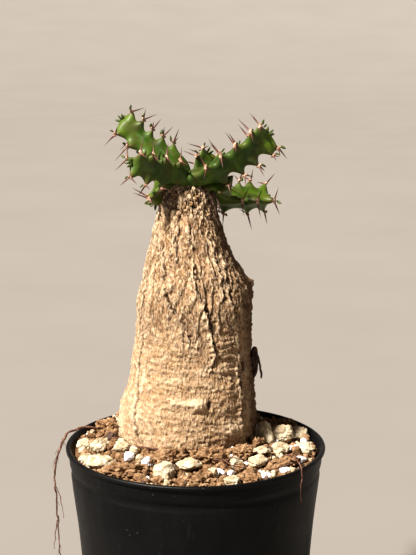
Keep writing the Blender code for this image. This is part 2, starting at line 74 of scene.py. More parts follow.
def settle(piece):
    # modifiers and placement go into the mesh
    pick(piece)
    for modifier in list(piece.modifiers):
        bpy.ops.object.modifier_apply(modifier=modifier.name)
    bpy.ops.object.transform_apply(location=True, rotation=True, scale=True)


def newest(name):
    piece = bpy.context.object
    piece.name = name
    piece.data.name = name
    return piece


def subdivide(piece, levels):
    modifier = piece.modifiers.new("smooth", "SUBSURF")
    modifier.levels = levels
    modifier.render_levels = levels
    settle(piece)


def sculpt(piece, move):
    # move(place, normal) gives each vertex its new place
    freshAndLit = [move(vertex.co.copy(), vertex.normal.copy()) for vertex in piece.data.vertices]
    for vertex, place in zip(piece.data.vertices, freshAndLit):
        vertex.co = place
    piece.data.update()


def dress(piece, finish, nodes=(), angle=180):
    pick(piece)
    if angle >= 180:
        bpy.ops.object.shade_smooth()
    else:
        bpy.ops.object.shade_smooth_by_angle(angle=math.radians(angle))
    piece.data.materials.clear()
    piece.data.materials.append(finish)
    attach(piece, "root")
    if nodes:
        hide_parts(*nodes)
    return piece


def joinUp(pieces, name):
    deselectAll()
    for piece in pieces:
        piece.select_set(True)
    bpy.context.view_layer.objects.active = pieces[0]
    bpy.ops.object.join()
    return newest(name)


def copyOf(template, matrix):
    piece = template.copy()
    piece.data = template.data.copy()
    piece.data.transform(matrix)
    bpy.context.scene.collection.objects.link(piece)
    return piece


def facing(place, direction, size, spin=0.0):
    # puts a template's +Z along a direction
    turn = direction.to_track_quat("Z", "Y").to_matrix().to_4x4()
    around = Matrix.Rotation(spin, 4, "Z")
    return Matrix.Translation(place) @ turn @ around @ Matrix.Diagonal((size[0], size[1], size[2], 1))


def paintAttribute(piece, name, values):
    layer = piece.data.attributes.new(name, "FLOAT", "POINT")
    layer.data.foreach_set("value", values)


def raiseRings(piece, rings):
    # draws the open edge up from ring to ring and closes the last one. A ring is a radius and a centre.
    pick(piece)
    bpy.ops.object.mode_set(mode="EDIT")
    bpy.ops.mesh.select_mode(type="EDGE")
    bpy.ops.mesh.select_all(action="DESELECT")
    bpy.ops.mesh.select_non_manifold()
    for (radius, centre), (nextRadius, nextCentre) in zip(rings, rings[1:]):
        step = [end - start for start, end in zip(centre, nextCentre)]
        bpy.ops.mesh.extrude_edges_move(TRANSFORM_OT_translate={"value": step})
        grow = nextRadius / radius
        bpy.ops.transform.resize(value=(grow, grow, 1), center_override=nextCentre)
    bpy.ops.mesh.edge_face_add()
    bpy.ops.mesh.select_all(action="SELECT")
    bpy.ops.mesh.normals_make_consistent(inside=False)
    bpy.ops.object.mode_set(mode="OBJECT")


# finishes: shader maths written as expressions

class Wire:
    def __init__(self, tree, socket):
        self.tree = tree
        self.socket = socket

    def node(self, kind, settings=None, inputs=None, output=0):
        made = self.tree.nodes.new(kind)
        for key, value in (settings or {}).items():
            if key == "stops":
                ramp = made.color_ramp
                while len(ramp.elements) < len(value):
                    ramp.elements.new(0.5)
                for element, (position, colour) in zip(ramp.elements, value):
                    element.position = position
                    element.color = (*colour, 1.0)
            else:
                setattr(made, key, value)
        for key, value in (inputs or {}).items():
            if isinstance(value, Wire):
                self.tree.links.new(value.socket, made.inputs[key])
            else:
                made.inputs[key].default_value = value
        return Wire(self.tree, made.outputs[output])

    def maths(self, operation, first, second=0.0):
        return self.node("ShaderNodeMath", {"operation": operation}, {0: first, 1: second})

    def __add__(self, other):
        return self.maths("ADD", self, other)

    __radd__ = __add__

    def __mul__(self, other):
        return self.maths("MULTIPLY", self, other)

    __rmul__ = __mul__

    def __sub__(self, other):
        return self.maths("SUBTRACT", self, other)

    def __rsub__(self, other):
        return self.maths("SUBTRACT", other, self)

    def __pow__(self, other):
        return self.maths("POWER", self, other)

    def size(self):
        return self.maths("ABSOLUTE", self)

    def clamped(self):
        return self.node("ShaderNodeClamp", {}, {"Value": self})


class Finish:
    # a Principled material whose patterns are laid out in millimetres
    def __init__(self, name, **fixed):
        self.material = bpy.data.materials.new(name)
        self.material.use_nodes = True
        self.tree = self.material.node_tree
        self.shader = self.tree.nodes["Principled BSDF"]
        for key, value in fixed.items():
            self.shader.inputs[key.replace("_", " ")].default_value = value
        start = Wire(self.tree, None)
        coords = start.node("ShaderNodeTexCoord", output=3)
        self.place = start.node("ShaderNodeMapping", {}, {"Vector": coords, "Scale": (1000, 1000, 1000)})

    def stretched(self, scale, turn=(0, 0, 0)):
        return self.place.node("ShaderNodeMapping", {},
            {"Vector": self.place, "Scale": scale, "Rotation": turn})

    def noise(self, size, detail=4.0, rough=0.55, place=None, warp=0.0):
        inputs = {"Vector": place or self.place, "Scale": 1 / size, "Detail": detail, "Roughness": rough,
            "Distortion": warp}
        return self.place.node("ShaderNodeTexNoise", {}, inputs)

    def cells(self, size, place=None, feature="F1", output=0, spread=1.0):
        inputs = {"Vector": place or self.place, "Scale": 1 / size, "Randomness": spread}
        return self.place.node("ShaderNodeTexVoronoi", {"feature": feature}, inputs, output)

    def ramp(self, value, stops):
        return self.place.node("ShaderNodeValToRGB", {"stops": stops}, {"Fac": value})

    def blend(self, factor, first, second, mode="MIX"):
        settings = {"data_type": "RGBA", "blend_type": mode}
        first = first if isinstance(first, Wire) else (*first, 1.0)
        second = second if isinstance(second, Wire) else (*second, 1.0)
        return self.place.node("ShaderNodeMix", settings, {0: factor, 6: first, 7: second}, 2)

    def attribute(self, name):
        return self.place.node("ShaderNodeAttribute", {"attribute_name": name}, output=2)

    def bump(self, height, depth, strength=1.0, below=None):
        inputs = {"Height": height, "Distance": depth / 1000, "Strength": strength}
        if below:
            inputs["Normal"] = below
        return self.place.node("ShaderNodeBump", {}, inputs)

    def done(self, colour, roughness=None, normal=None):
        self.tree.links.new(colour.socket, self.shader.inputs["Base Color"])
        if roughness:
            self.tree.links.new(roughness.socket, self.shader.inputs["Roughness"])
        if normal:
            self.tree.links.new(normal.socket, self.shader.inputs["Normal"])
        return self.material


def span(value, low, high):
    # 0 at low, 1 at high, clamped
    return ((value - low) * (1 / (high - low))).clamped()


# camera, floor and light

view = {"place": (0.0043, -0.4744, 0.2428), "down": 11.8, "lens": 92.56, "exposure": -0.48,
    "contrast": "Medium High Contrast"}
backdrop = {"flat": 2.2, "curve": 2.4, "far": 12.0, "slope": 24, "sides": 96}
light = {
    "key": {"from": (-0.80, -0.62, 1.22), "angle": 4.5, "power": 12.2, "colour": (1.0, 0.935, 0.845)},
    "fill": {"place": (-1.2, -0.6, 0.5), "size": 0.7, "power": 2.2, "colour": (0.96, 0.96, 1.0)},
    "back": {"place": (0.30, 1.2, 0.8), "size": 0.8, "power": 0.8, "colour": (1.0, 0.97, 0.92)},
    "sky": (0.95, 0.93, 0.90), "skyPower": 0.11,
}


def placeCamera():
    bpy.ops.object.camera_add(location=view["place"], rotation=(math.radians(90 - view["down"]), 0, 0))
    camera = bpy.context.object
    camera.data.lens = view["lens"]
    camera.data.sensor_width = 36
    bpy.context.scene.camera = camera
    bpy.context.scene.view_settings.view_transform = "Standard"
    bpy.context.scene.view_settings.look = view["contrast"]
    bpy.context.scene.view_settings.exposure = view["exposure"]


def placeLights():
    key = light["key"]
    aim = (-Vector(key["from"])).to_track_quat("-Z", "Y").to_euler()
    bpy.ops.object.light_add(type="SUN", location=Vector(key["from"]) * 2, rotation=aim)
    sun = newest("keyLight")
    sun.data.angle = math.radians(key["angle"])
    sun.data.energy = key["power"]
    sun.data.color = key["colour"]
    for name in ("fill", "back"):
        lamp = light[name]
        place = Vector(lamp["place"])
        aim = (Vector((0, 0, 0.11)) - place).to_track_quat("-Z", "Y").to_euler()
        bpy.ops.object.light_add(type="AREA", location=place, rotation=aim)
        made = newest(name + "Light")
        made.data.size = lamp["size"]
        made.data.energy = lamp["power"]
        made.data.color = lamp["colour"]
    world = bpy.data.worlds.new("studio")
    world.use_nodes = True
    world.node_tree.nodes["Background"].inputs["Color"].default_value = (*light["sky"], 1)
    world.node_tree.nodes["Background"].inputs["Strength"].default_value = light["skyPower"]
    bpy.context.scene.world = world


def placeFloor():
    # plain and flat under the pot, rising gently on all sides far away
    bpy.ops.mesh.primitive_circle_add(vertices=backdrop["sides"], radius=backdrop["flat"], fill_type="NGON")
    floor = newest("floor")
    bpy.ops.object.mode_set(mode="EDIT")
    bpy.ops.mesh.select_mode(type="EDGE")
    bpy.ops.mesh.select_non_manifold()
    radius, steps = backdrop["flat"], 12
    for i in range(steps + 1):
        turn = math.radians(backdrop["slope"] * min(1, (i + 0.5) / steps))
        run = backdrop["curve"] / steps if i < steps else backdrop["far"] - radius
        bpy.ops.mesh.extrude_edges_move(TRANSFORM_OT_translate={"value": (0, 0, run * math.tan(turn))})
        grow = (radius + run) / radius
        bpy.ops.transform.resize(value=(grow, grow, 1))
        radius += run
    bpy.ops.mesh.select_all(action="SELECT")
    bpy.ops.mesh.normals_make_consistent(inside=False)
    bpy.ops.object.mode_set(mode="OBJECT")
    settle(floor)
    pick(floor)
    bpy.ops.object.shade_smooth()
    look = Finish("paleFloor", Roughness=0.85, Specular_IOR_Level=0.1)
    tone = look.ramp(look.noise(140, 3), [(0.3, (0.232, 0.216, 0.201)), (0.7, (0.244, 0.228, 0.213))])
    floor.data.materials.append(look.done(tone))


placeCamera()
placeLights()
placeFloor()
print("camera, lights and floor placed")


# pot

pot = {
    "sides": 160, "wall": 1.2, "band": 6.2, "groove": 3.0, "baseRadius": 35.5, "wobble": 0.22,
    "holes": 6, "holeRadius": 4.5, "holeReach": 22.0, "lip": 0.9,
}


def potSide(z):
    # the plain wall's outer radius at a height, in millimetres
    return pot["baseRadius"] + (rimRadius * 1000 - pot["lip"] - pot["baseRadius"]) * z / (rimHeight * 1000)


def potOutline():
    # radius and height in millimetres, from the bottom up the outside, over the lip and down inside
    rim, top, base = rimRadius * 1000, rimHeight * 1000, pot["baseRadius"]
    plain = potSide
    inside = lambda z: plain(z) - pot["wall"] - 0.55
    band = top - pot["band"]
    groove = band - pot["groove"]
    rows = [(base - 1.6, 0.0), (base - 0.7, 0.15), (base - 0.2, 0.6), (plain(1.8), 1.8), (plain(4), 4)]
    rows += [(plain(z), z) for z in range(10, int(groove) - 2, 6)]
    rows += [(plain(groove - 0.8), groove - 0.8), (plain(groove) - 0.15, groove),
        (plain(groove) - 0.5, groove + 0.8)]
    rows += [(plain(band) - 0.6, band - 1.0), (plain(band) - 0.35, band - 0.4), (plain(band) + 0.05, band)]
    rows += [(plain(band + 1) + 0.12, band + 1), (plain(top - 3) + 0.1, top - 3),
        (plain(top - 1.9) + 0.1, top - 1.9)]
    rows += [(rim - 0.35, top - 1.55), (rim - 0.08, top - 1.2), (rim, top - 0.7), (rim - 0.18, top - 0.25)]
    rows += [(rim - 0.6, top), (rim - 1.15, top - 0.02), (rim - 1.6, top - 0.35), (rim - 1.85, top - 0.9)]
    rows += [(inside(top - 2.5), top - 2.5), (inside(top - 6), top - 6), (inside(top * 0.5), top * 0.5)]
    rows += [(inside(4), 4), (inside(1.8), 1.8), (inside(1.2) - 1.2, 1.25), (base - 8, 1.2), (20, 1.2),
        (8, 1.2)]
    return [(radius / 1000, height / 1000) for radius, height in rows]


def potWobble(place, normal):
    # thin moulded plastic is never quite round or straight
    flat = Vector((place.x, place.y, 0))
    if flat.length < 0.030:
        return place
    high = ease(place.z / 0.02)
    sway = noise.noise(Vector((place.x * 22, place.y * 22, place.z * 34)))
    swell = math.sin(place.z * 190 + 1.2 * sway) * 0.4
    return place + flat.normalized() * (sway
        + swell) * pot["wobble"] / 1000 * high * ease((rimHeight - place.z) / 0.004)


def potFinish():
    look = Finish("potPlastic", Specular_IOR_Level=0.15)
    streaks = look.noise(7, 5, 0.6, look.stretched((1, 1, 0.35)))
    blotch = look.noise(16, 6, 0.62)
    dust = span(look.noise(0.55, 3, 0.7), 0.63, 0.74) * span(look.noise(11, 3), 0.42, 0.62)
    specks = span(1 - look.cells(2.6), 0.86, 0.95) * span(look.noise(9, 2), 0.45, 0.6)
    scuffs = span(look.noise(1.2, 2, 0.5, look.stretched((1, 1, 0.12))), 0.64, 0.74) * span(look.noise(14, 2),
        0.5, 0.6)
    plastic = look.ramp(streaks, [(0.3, (0.0030, 0.0031, 0.0036)), (0.75, (0.0060, 0.0062, 0.0070))])
    haze = look.blend(span(blotch, 0.46, 0.8) * 0.30, plastic, (0.010, 0.0098, 0.0100))
    worn = look.blend((dust * 0.07 + specks * 0.14 + scuffs * 0.03).clamped(), haze, (0.30, 0.28, 0.25))
    sheen = 0.34 + blotch * 0.22 + (dust + specks).clamped() * 0.3
    grain = look.bump(look.noise(0.35, 2), 0.03, 0.35)
    waves = look.bump(streaks, 0.35, 0.5, grain)
    return look.done(worn, sheen, waves)


def makePot():
    rows = potOutline()
    bpy.ops.mesh.primitive_circle_add(vertices=pot["sides"], radius=rows[0][0], location=(0, 0, 0),
        fill_type="TRIFAN")
    piece = newest("nurseryPot")
    raiseRings(piece, [(radius, (0, 0, height)) for radius, height in rows])
    sculpt(piece, potWobble)
    cutters = []
    for i in range(pot["holes"]):
        turn = 2 * math.pi * (i + 0.5) / pot["holes"]
        place = (pot["holeReach"] / 1000 * math.cos(turn), pot["holeReach"] / 1000 * math.sin(turn), 0.0006)
        bpy.ops.mesh.primitive_cylinder_add(vertices=40, radius=pot["holeRadius"] / 1000, depth=0.006,
            location=place)
        cutters.append(newest("drain"))
    cutter = joinUp(cutters, "drains")
    cut = piece.modifiers.new("drains", "BOOLEAN")
    cut.operation = "DIFFERENCE"
    cut.solver = "EXACT"
    cut.object = cutter
    settle(piece)
    bpy.data.objects.remove(cutter)
    dress(piece, potFinish(), ("pot",), 38)


makePot()
print("pot made")


# caudex

trunk = {
    "sides": 54, "rings": 23, "buried": 6.0, "behind": 8.0, "crown": 3.0, "girth": 24.0, "crowd": 0.35,
    "boxy": 0.055,
    "outline": (
        (0.00, 1.00, -3.1), (0.14, 0.96, -2.6), (0.30, 0.86, -1.1), (0.47, 0.81, -0.6), (0.56, 0.80, -0.2),
        (0.64, 0.74, -0.4), (0.75, 0.58, -1.8), (0.87, 0.44, -2.4), (1.00, 0.31, -2.7),
    ),
    # torn edges of bark: how deep, then turn round the trunk in degrees and share of the height, from the top
    "tears": (
        (0.55, ((-83, 0.76), (-84, 0.728), (-86.5, 0.646), (-77.4, 0.551), (-72, 0.48), (-69, 0.39))),
        (0.60, ((-76, 0.62), (-80, 0.582), (-73.4, 0.483))),
        (0.60, ((-124, 0.66), (-120.2, 0.621), (-112.3, 0.569), (-103.4, 0.535))),
        (0.45, ((-97, 0.49), (-94.7, 0.473), (-90.9, 0.400))),
        (0.55, ((-133, 0.82), (-131.5, 0.786), (-123.8, 0.694), (-126, 0.66))),
        (0.60, ((-38, 0.80), (-39.8, 0.751), (-48, 0.691), (-50.6, 0.594), (-46, 0.50))),
        (0.50, ((-71, 0.47), (-67.3, 0.379), (-73, 0.30))),
        (0.60, ((-42, 0.50), (-43.9, 0.319), (-41.5, 0.205), (-41.3, 0.03))),
        (0.60, ((-152, 0.50), (-150.5, 0.329), (-144.1, 0.223), (-133, 0.03))),
        (0.50, ((-58.4, 0.84), (-53, 0.762), (-56, 0.651), (-60, 0.58))),
        (0.50, ((-83.7, 0.90), (-87.5, 0.824), (-80, 0.77))),
        (0.50, ((-104, 0.90), (-110, 0.80), (-106, 0.72))),
        (0.55, ((-160, 0.72), (-156, 0.56), (-163, 0.40))),
        (0.60, ((-20, 0.80), (-26, 0.66), (-18, 0.50))),
        (0.60, ((15, 0.55), (22, 0.38), (16, 0.20))), (0.60, ((48, 0.85), (42, 0.66), (50, 0.45))),
        (0.55, ((75, 0.50), (82, 0.33), (78, 0.12))), (0.60, ((104, 0.88), (98, 0.70), (106, 0.52))),
        (0.60, ((135, 0.62), (142, 0.45), (136, 0.22))), (0.55, ((168, 0.88), (172, 0.70), (165, 0.50))),
    ),
    # knobs: turn, share, width across, height up, how far out, all in millimetres but the first two
    "knobs": (
        (0, 0.622, 1.7, 1.5, 2.2), (-5, 0.588, 1.5, 1.5, 1.4), (-83, 0.197, 2.7, 1.8, 1.7),
        (-92, 0.204, 1.6, 1.2, 0.6), (-101, 0.205, 2.6, 1.1, 0.7),
        (-140, 0.13, 3.0, 3.6, 0.8), (-168, 0.08, 4.0, 4.0, 0.8), (-50, 0.09, 3.2, 2.0, 0.7),
        (-62, 0.33, 3.0, 2.0, 0.5),
        (90, 0.45, 3.5, 3.0, 1.0), (140, 0.25, 4.0, 2.5, 1.0), (40, 0.2, 3.5, 2.2, 0.9),
    ),
    # little hollows, painted dark as shade
    "pits": (
        (-36, 0.33, 0.9, 1.9, -1.2), (-72.5, 0.196, 0.8, 1.2, -1.0), (-88.7, 0.758, 0.45, 0.5, -0.9),
        (-113.4, 0.127, 0.8, 0.5, -0.6), (-106, 0.905, 0.5, 0.9, -0.9),
    ),
}
soilLevel = trunkHigh.z - (87.0 + trunk["crown"]) / 1000
trunkHeight = trunkHigh.z - trunk["crown"] / 1000 - soilLevel
trunkAxis = Vector((0, trunk["behind"] / 1000, 0))


def trunkSection(share):
    # radius and sideways lean in metres at a share of the height
    rows = trunk["outline"]
    i = 0
    while i < len(rows) - 2 and share > rows[i + 1][0]:
        i += 1
    low, high = rows[i], rows[i + 1]
    before, after = rows[max(i - 1, 0)], rows[min(i + 2, len(rows) - 1)]
    step = high[0] - low[0]
    t = (share - low[0]) / step
    found = []
    for column in (1, 2):
        slopeLow = (high[column] - before[column]) / (high[0] - before[0])
        slopeHigh = (after[column] - low[column]) / (after[0] - low[0])
        found.append(
            (2 * t**3 - 3 * t**2 + 1) * low[column] + (t**3 - 2 * t**2 + t) * slopeLow * step
            + (3 * t**2 - 2 * t**3) * high[column] + (t**3 - t**2) * slopeHigh * step)
    return found[0] * trunk["girth"] / 1000, found[1] / 1000


def turnAway(first, second):
    return math.atan2(math.sin(first - second), math.cos(first - second))


def crest(point, width=3.2):
    # thin winding crest lines, 0 to 1
    return max(0.0, 1 - abs(noise.noise(point)) * width)


def tearAt(path, share):
    for high, low in zip(path, path[1:]):
        if low[1] <= share <= high[1]:
            return mix(low[0], high[0], (share - low[1]) / (high[1] - low[1]))
    return None


def barkHeight(place, turn, share, radius):
    # millimetres out from the smooth trunk, how pale the crest (its cream tone with a painted highlight) and
    # how much painted shade lies in the hollow
    spot = place * 1000
    upright = ease((share - 0.36) / 0.22)
    wander = noise.noise_vector(Vector((spot.x, spot.y, spot.z * 0.6)) * 0.24) * 2.2
    crinkle = noise.noise_vector(spot * 0.75) * 0.75
    drawn = Vector((spot.x, spot.y, spot.z * 0.42)) * 1.12 + wander + crinkle * 1.25
    flat = Vector((spot.x * 0.30, spot.y * 0.30, spot.z)) + wander * 0.35 + crinkle * 0.5
    first = crest(drawn * 0.52 + Vector((3, 9, 1)), 3.6) ** 1.6
    second = crest(drawn * 1.15 + Vector((8, 1, 4)), 3.0) ** 1.4
    level = crest(flat * 0.62 + Vector((1, 7, 2)), 2.8) ** 1.3
    lump = noise.noise(spot * 0.11) + 0.5 * noise.noise(spot * 0.24)
    patchy = ease(noise.noise(Vector((spot.x, spot.y, spot.z * 0.5)) * 0.16) * 1.6 + 0.55)
    height = (0.52 * first + 0.40 * second) * mix(0.28, 1.0, upright) * mix(0.45, 1.0, patchy)
    height += 0.34 * level * (1 - upright) + 0.26 * second * (1 - upright) + 0.60 * lump
    # broad creases lying across the lower half
    low = Vector((spot.x * 0.10, spot.y * 0.10, spot.z * 0.42)) + wander * 0.12
    crease = crest(low + Vector((2, 5, 3)), 5.5)
    height -= 0.42 * crease * (1 - upright) * patchy
    # loose plates rise to the right and drop off at their edge
    plate = turn / (2 * math.pi) * 30 + 1.5 * noise.noise(spot * 0.075) + 0.16 * wander.x + 0.10 * crinkle.x
    rise = plate - math.floor(plate)
    loose = ease(noise.noise(Vector((spot.x, spot.y, spot.z * 0.45)) * 0.12 + Vector((4, 4, 9))) * 2.2 + 0.45)
    edge = rise / 0.88 if rise < 0.88 else (1 - rise) / 0.12
    height += 0.55 * loose * edge ** 1.5 * mix(0.25, 1.0, upright)
    # crests are a paler cream with a painted highlight; the lifted plate edge gets a painted highlight, and
    # the step below it, the gaps between crests and the creases get painted shade
    pale = 0.80 * first * upright + 0.55 * second + 0.50 * level * (1 - upright) - 0.16
    pale += 0.5 * loose * ease((rise - 0.62) / 0.22) * (1 - ease((rise - 0.88) / 0.08))
    sunk = 0.7 * loose * mix(0.2, 1.0, upright) * math.exp(-((rise / 0.10) ** 2))
    sunk += max(0.0, 0.42 - first - 0.8 * second) * mix(0.45, 0.95, upright)
    sunk += 0.26 * ease((crease - 0.6) / 0.35) * (1 - upright) * patchy
    for depth, path in trunk["tears"]:
        line = tearAt(path, share)
        if line is None:
            continue
        away = (turnAway(turn, math.radians(line)) * radius * 1000) + crinkle.x * 1.5 + wander.y * 0.15
        if abs(away) < 3:
            along = ease((path[0][1] - share) / 0.04) * ease((share - path[-1][1]) / 0.03)
            lip = math.exp(-((away + 0.62) / 0.55) ** 2)
            cut = math.exp(-((away - 0.10) / 0.27) ** 2)
            height += along * depth * (0.85 * lip - 0.9 * cut)
            # the lifted lip of a tear gets a painted highlight and its cut painted shade
            pale += along * lip * 0.9
            sunk += along * cut * 1.3
    for turnDegrees, atShare, wide, tall, out in trunk["knobs"] + trunk["pits"]:
        away = turnAway(turn, math.radians(turnDegrees)) * radius * 1000 + crinkle.x * 0.6
        above = (share - atShare) * trunkHeight * 1000 + crinkle.z * 0.6
        bulge = math.exp(-((away / wide) ** 2 + (above / tall) ** 2) ** 1.3)
        height += out * bulge
        # pits get painted shade and raised knobs a painted highlight, stronger on the low front scars
        sunk += max(0.0, -out) * bulge * 1.3
        pale += max(0.0, out) * bulge * 0.35
        pale += 0.6 * bulge if atShare < 0.21 and 0.5 < out < 2 else 0
        # a painted shadow just under the biggest knob
        if out > 1.9:
            sunk += 0.9 * math.exp(-((away / wide) ** 2 + ((above + tall * 1.15) / (tall * 0.35)) ** 2))
    # scaly collar just under the branches: cream flecks on the raised scales, painted shade on the sunken
    # ones
    scales = ease((share - 0.88) / 0.08)
    if scales > 0:
        near, seeds = noise.voronoi(Vector((spot.x, spot.y, spot.z * 0.7)) * 0.8 + crinkle)
        scale = math.sin(seeds[0].dot(Vector((12.99, 78.23, 37.72))))
        height += scales * (0.55 * scale - 0.5 * math.exp(-((near[1] - near[0]) / 0.12) ** 2))
        pale += scales * (0.15 + 1.2 * max(0.0, scale))
        sunk += scales * 0.55 * max(0.0, -scale)
    return height * ease((share + 0.02) / 0.05), pale, sunk


def trunkFinish():
    look = Finish("trunkBark", Specular_IOR_Level=0.2)
    sunk = look.attribute("sunk")
    pale = look.attribute("pale")
    high = look.attribute("high")
    drawn = look.stretched((1, 1, 0.34))
    laid = look.stretched((0.5, 0.5, 1.2))
    fine = look.noise(0.55, 5, 0.65, drawn, 0.8)
    patch = look.noise(9, 4)
    # winding hair cracks painted dark as their shadow, each with a pale lip beside it painted as its
    # highlight
    upWinding = look.noise(1.9, 3, 0.55, drawn, 1.6)
    lowWinding = look.noise(2.6, 3, 0.55, laid, 1.2)
    winding = upWinding * high + lowWinding * (1 - high)
    crackShadows = 1 - span((winding - 0.50).size(), 0.0, 0.022)
    lipHighlights = 1 - span((winding - 0.53).size(), 0.0, 0.026)
    low = look.ramp(fine, [(0.36, (0.20, 0.115, 0.050)), (0.50, (0.37, 0.235, 0.130)),
        (0.62, (0.53, 0.372, 0.232))])
    up = look.ramp(fine, [(0.36, (0.14, 0.075, 0.031)), (0.50, (0.35, 0.208, 0.106)),
        (0.62, (0.52, 0.355, 0.215))])
    skin = look.blend(high, low, up)
    tinted = look.blend(span(patch, 0.42, 0.7) * 0.28, skin, (0.40, 0.225, 0.110))
    # cream crests and lips: the bark's paler tone together with painted highlight
    creamAndHighlight = look.blend((pale * (0.45 + fine * 0.9) + lipHighlights * 0.40).clamped() * 0.88, tinted,
        (0.74, 0.575, 0.405))
    # painted shade in the hollows and the hair cracks
    dark = (sunk * 0.88 + crackShadows * (0.13 + high * 0.42)).clamped()
    # painted shade down the right side of the trunk
    sideShaded = look.blend(look.attribute("stain") * 0.80, creamAndHighlight, (0.115, 0.062, 0.030))
    deep = look.blend(dark, sideShaded, (0.060, 0.028, 0.012))
    relief = look.bump(fine, 0.42, 0.9)
    split = look.bump((lipHighlights - crackShadows) * (0.35 + high * 0.65), 0.30, 0.9, relief)
    grain = look.bump(look.noise(0.26, 3), 0.10, 0.6, split)
    return look.done(deep, 0.74 + fine * 0.2, grain)


def makeTrunk():
    rows = []
    radius, lean = trunkSection(0)
    depth = trunk["buried"] / 1000
    rows.append((radius * 0.97, lean, soilLevel - depth))
    for i in range(trunk["rings"] + 1):
        share = i / trunk["rings"]
        radius, lean = trunkSection(share)
        rows.append((radius, lean, soilLevel + trunkHeight * share))
    radius, lean = trunkSection(1)
    for angle in (30, 60, 80):
        up = trunk["crown"] / 1000 * math.sin(math.radians(angle))
        rows.append((radius * math.cos(math.radians(angle)), lean, soilLevel + trunkHeight + up))
    first = rows[0]
    place = (first[1], trunkAxis.y, first[2])
    bpy.ops.mesh.primitive_circle_add(vertices=trunk["sides"], radius=first[0], location=place,
        fill_type="NGON")
    piece = newest("caudexBark")
    settle(piece)
    raiseRings(piece, [(radius, (lean, trunkAxis.y, height)) for radius, lean, height in rows])
    subdivide(piece, 3)
    creamAndHighlights, hollowShades, heights, shadowSides = [], [], [], []

    def raiseBark(place, normal):
        share = (place.z - soilLevel) / trunkHeight
        radius, lean = trunkSection(min(1.0, max(0.0, share)))
        axis = Vector((lean, trunkAxis.y, place.z))
        # vertices crowd towards the front, where the bark is finest
        across = turnAway(math.atan2(place.y - axis.y, place.x - axis.x), math.radians(-90))
        turned = Matrix.Rotation(-trunk["crowd"] * math.sin(across), 3, "Z")
        place = axis + turned @ (place - axis)
        normal = turned @ normal
        turn = math.atan2(place.y - axis.y, place.x - axis.x)
        # the front is a little flat, with a firm corner on the right of it
        corner = 1 + trunk["boxy"] * math.exp(-((math.degrees(turnAway(turn, math.radians(-42))) / 20) ** 2))
        place = axis + (place - axis) * mix(1, corner, ease(share * 12) * (1 - ease((share - 0.6) / 0.3)))
        height, pale, sunk = barkHeight(place, turn, share, radius)
        creamAndHighlights.append(min(1.0, max(0.0, pale)))
        hollowShades.append(min(1.0, sunk))
        heights.append(ease((share - 0.36) / 0.22))
        # painted shade down the right side, the side turned away from the key light
        sideways = turnAway(turn, math.radians(-4)) + 0.16 * noise.noise(place * 160)
        shadowSides.append(math.exp(-((math.degrees(sideways) / 31) ** 4)))
        return place + normal * height / 1000

    sculpt(piece, raiseBark)
    paintAttribute(piece, "pale", creamAndHighlights)
    paintAttribute(piece, "sunk", hollowShades)
    paintAttribute(piece, "high", heights)
    paintAttribute(piece, "stain", shadowSides)
    dress(piece, trunkFinish(), ("caudex",))


makeTrunk()
print("caudex made")


# branches

stem = {
    "sides": 72, "step": 0.34, "face": 2.65, "ridge": 3.3, "swell": 1.2, "peak": 2.0, "blunt": 2.8,
    "start": 3.5,
    "spineLength": 6.0, "spineThick": 0.80, "splay": 60,
}
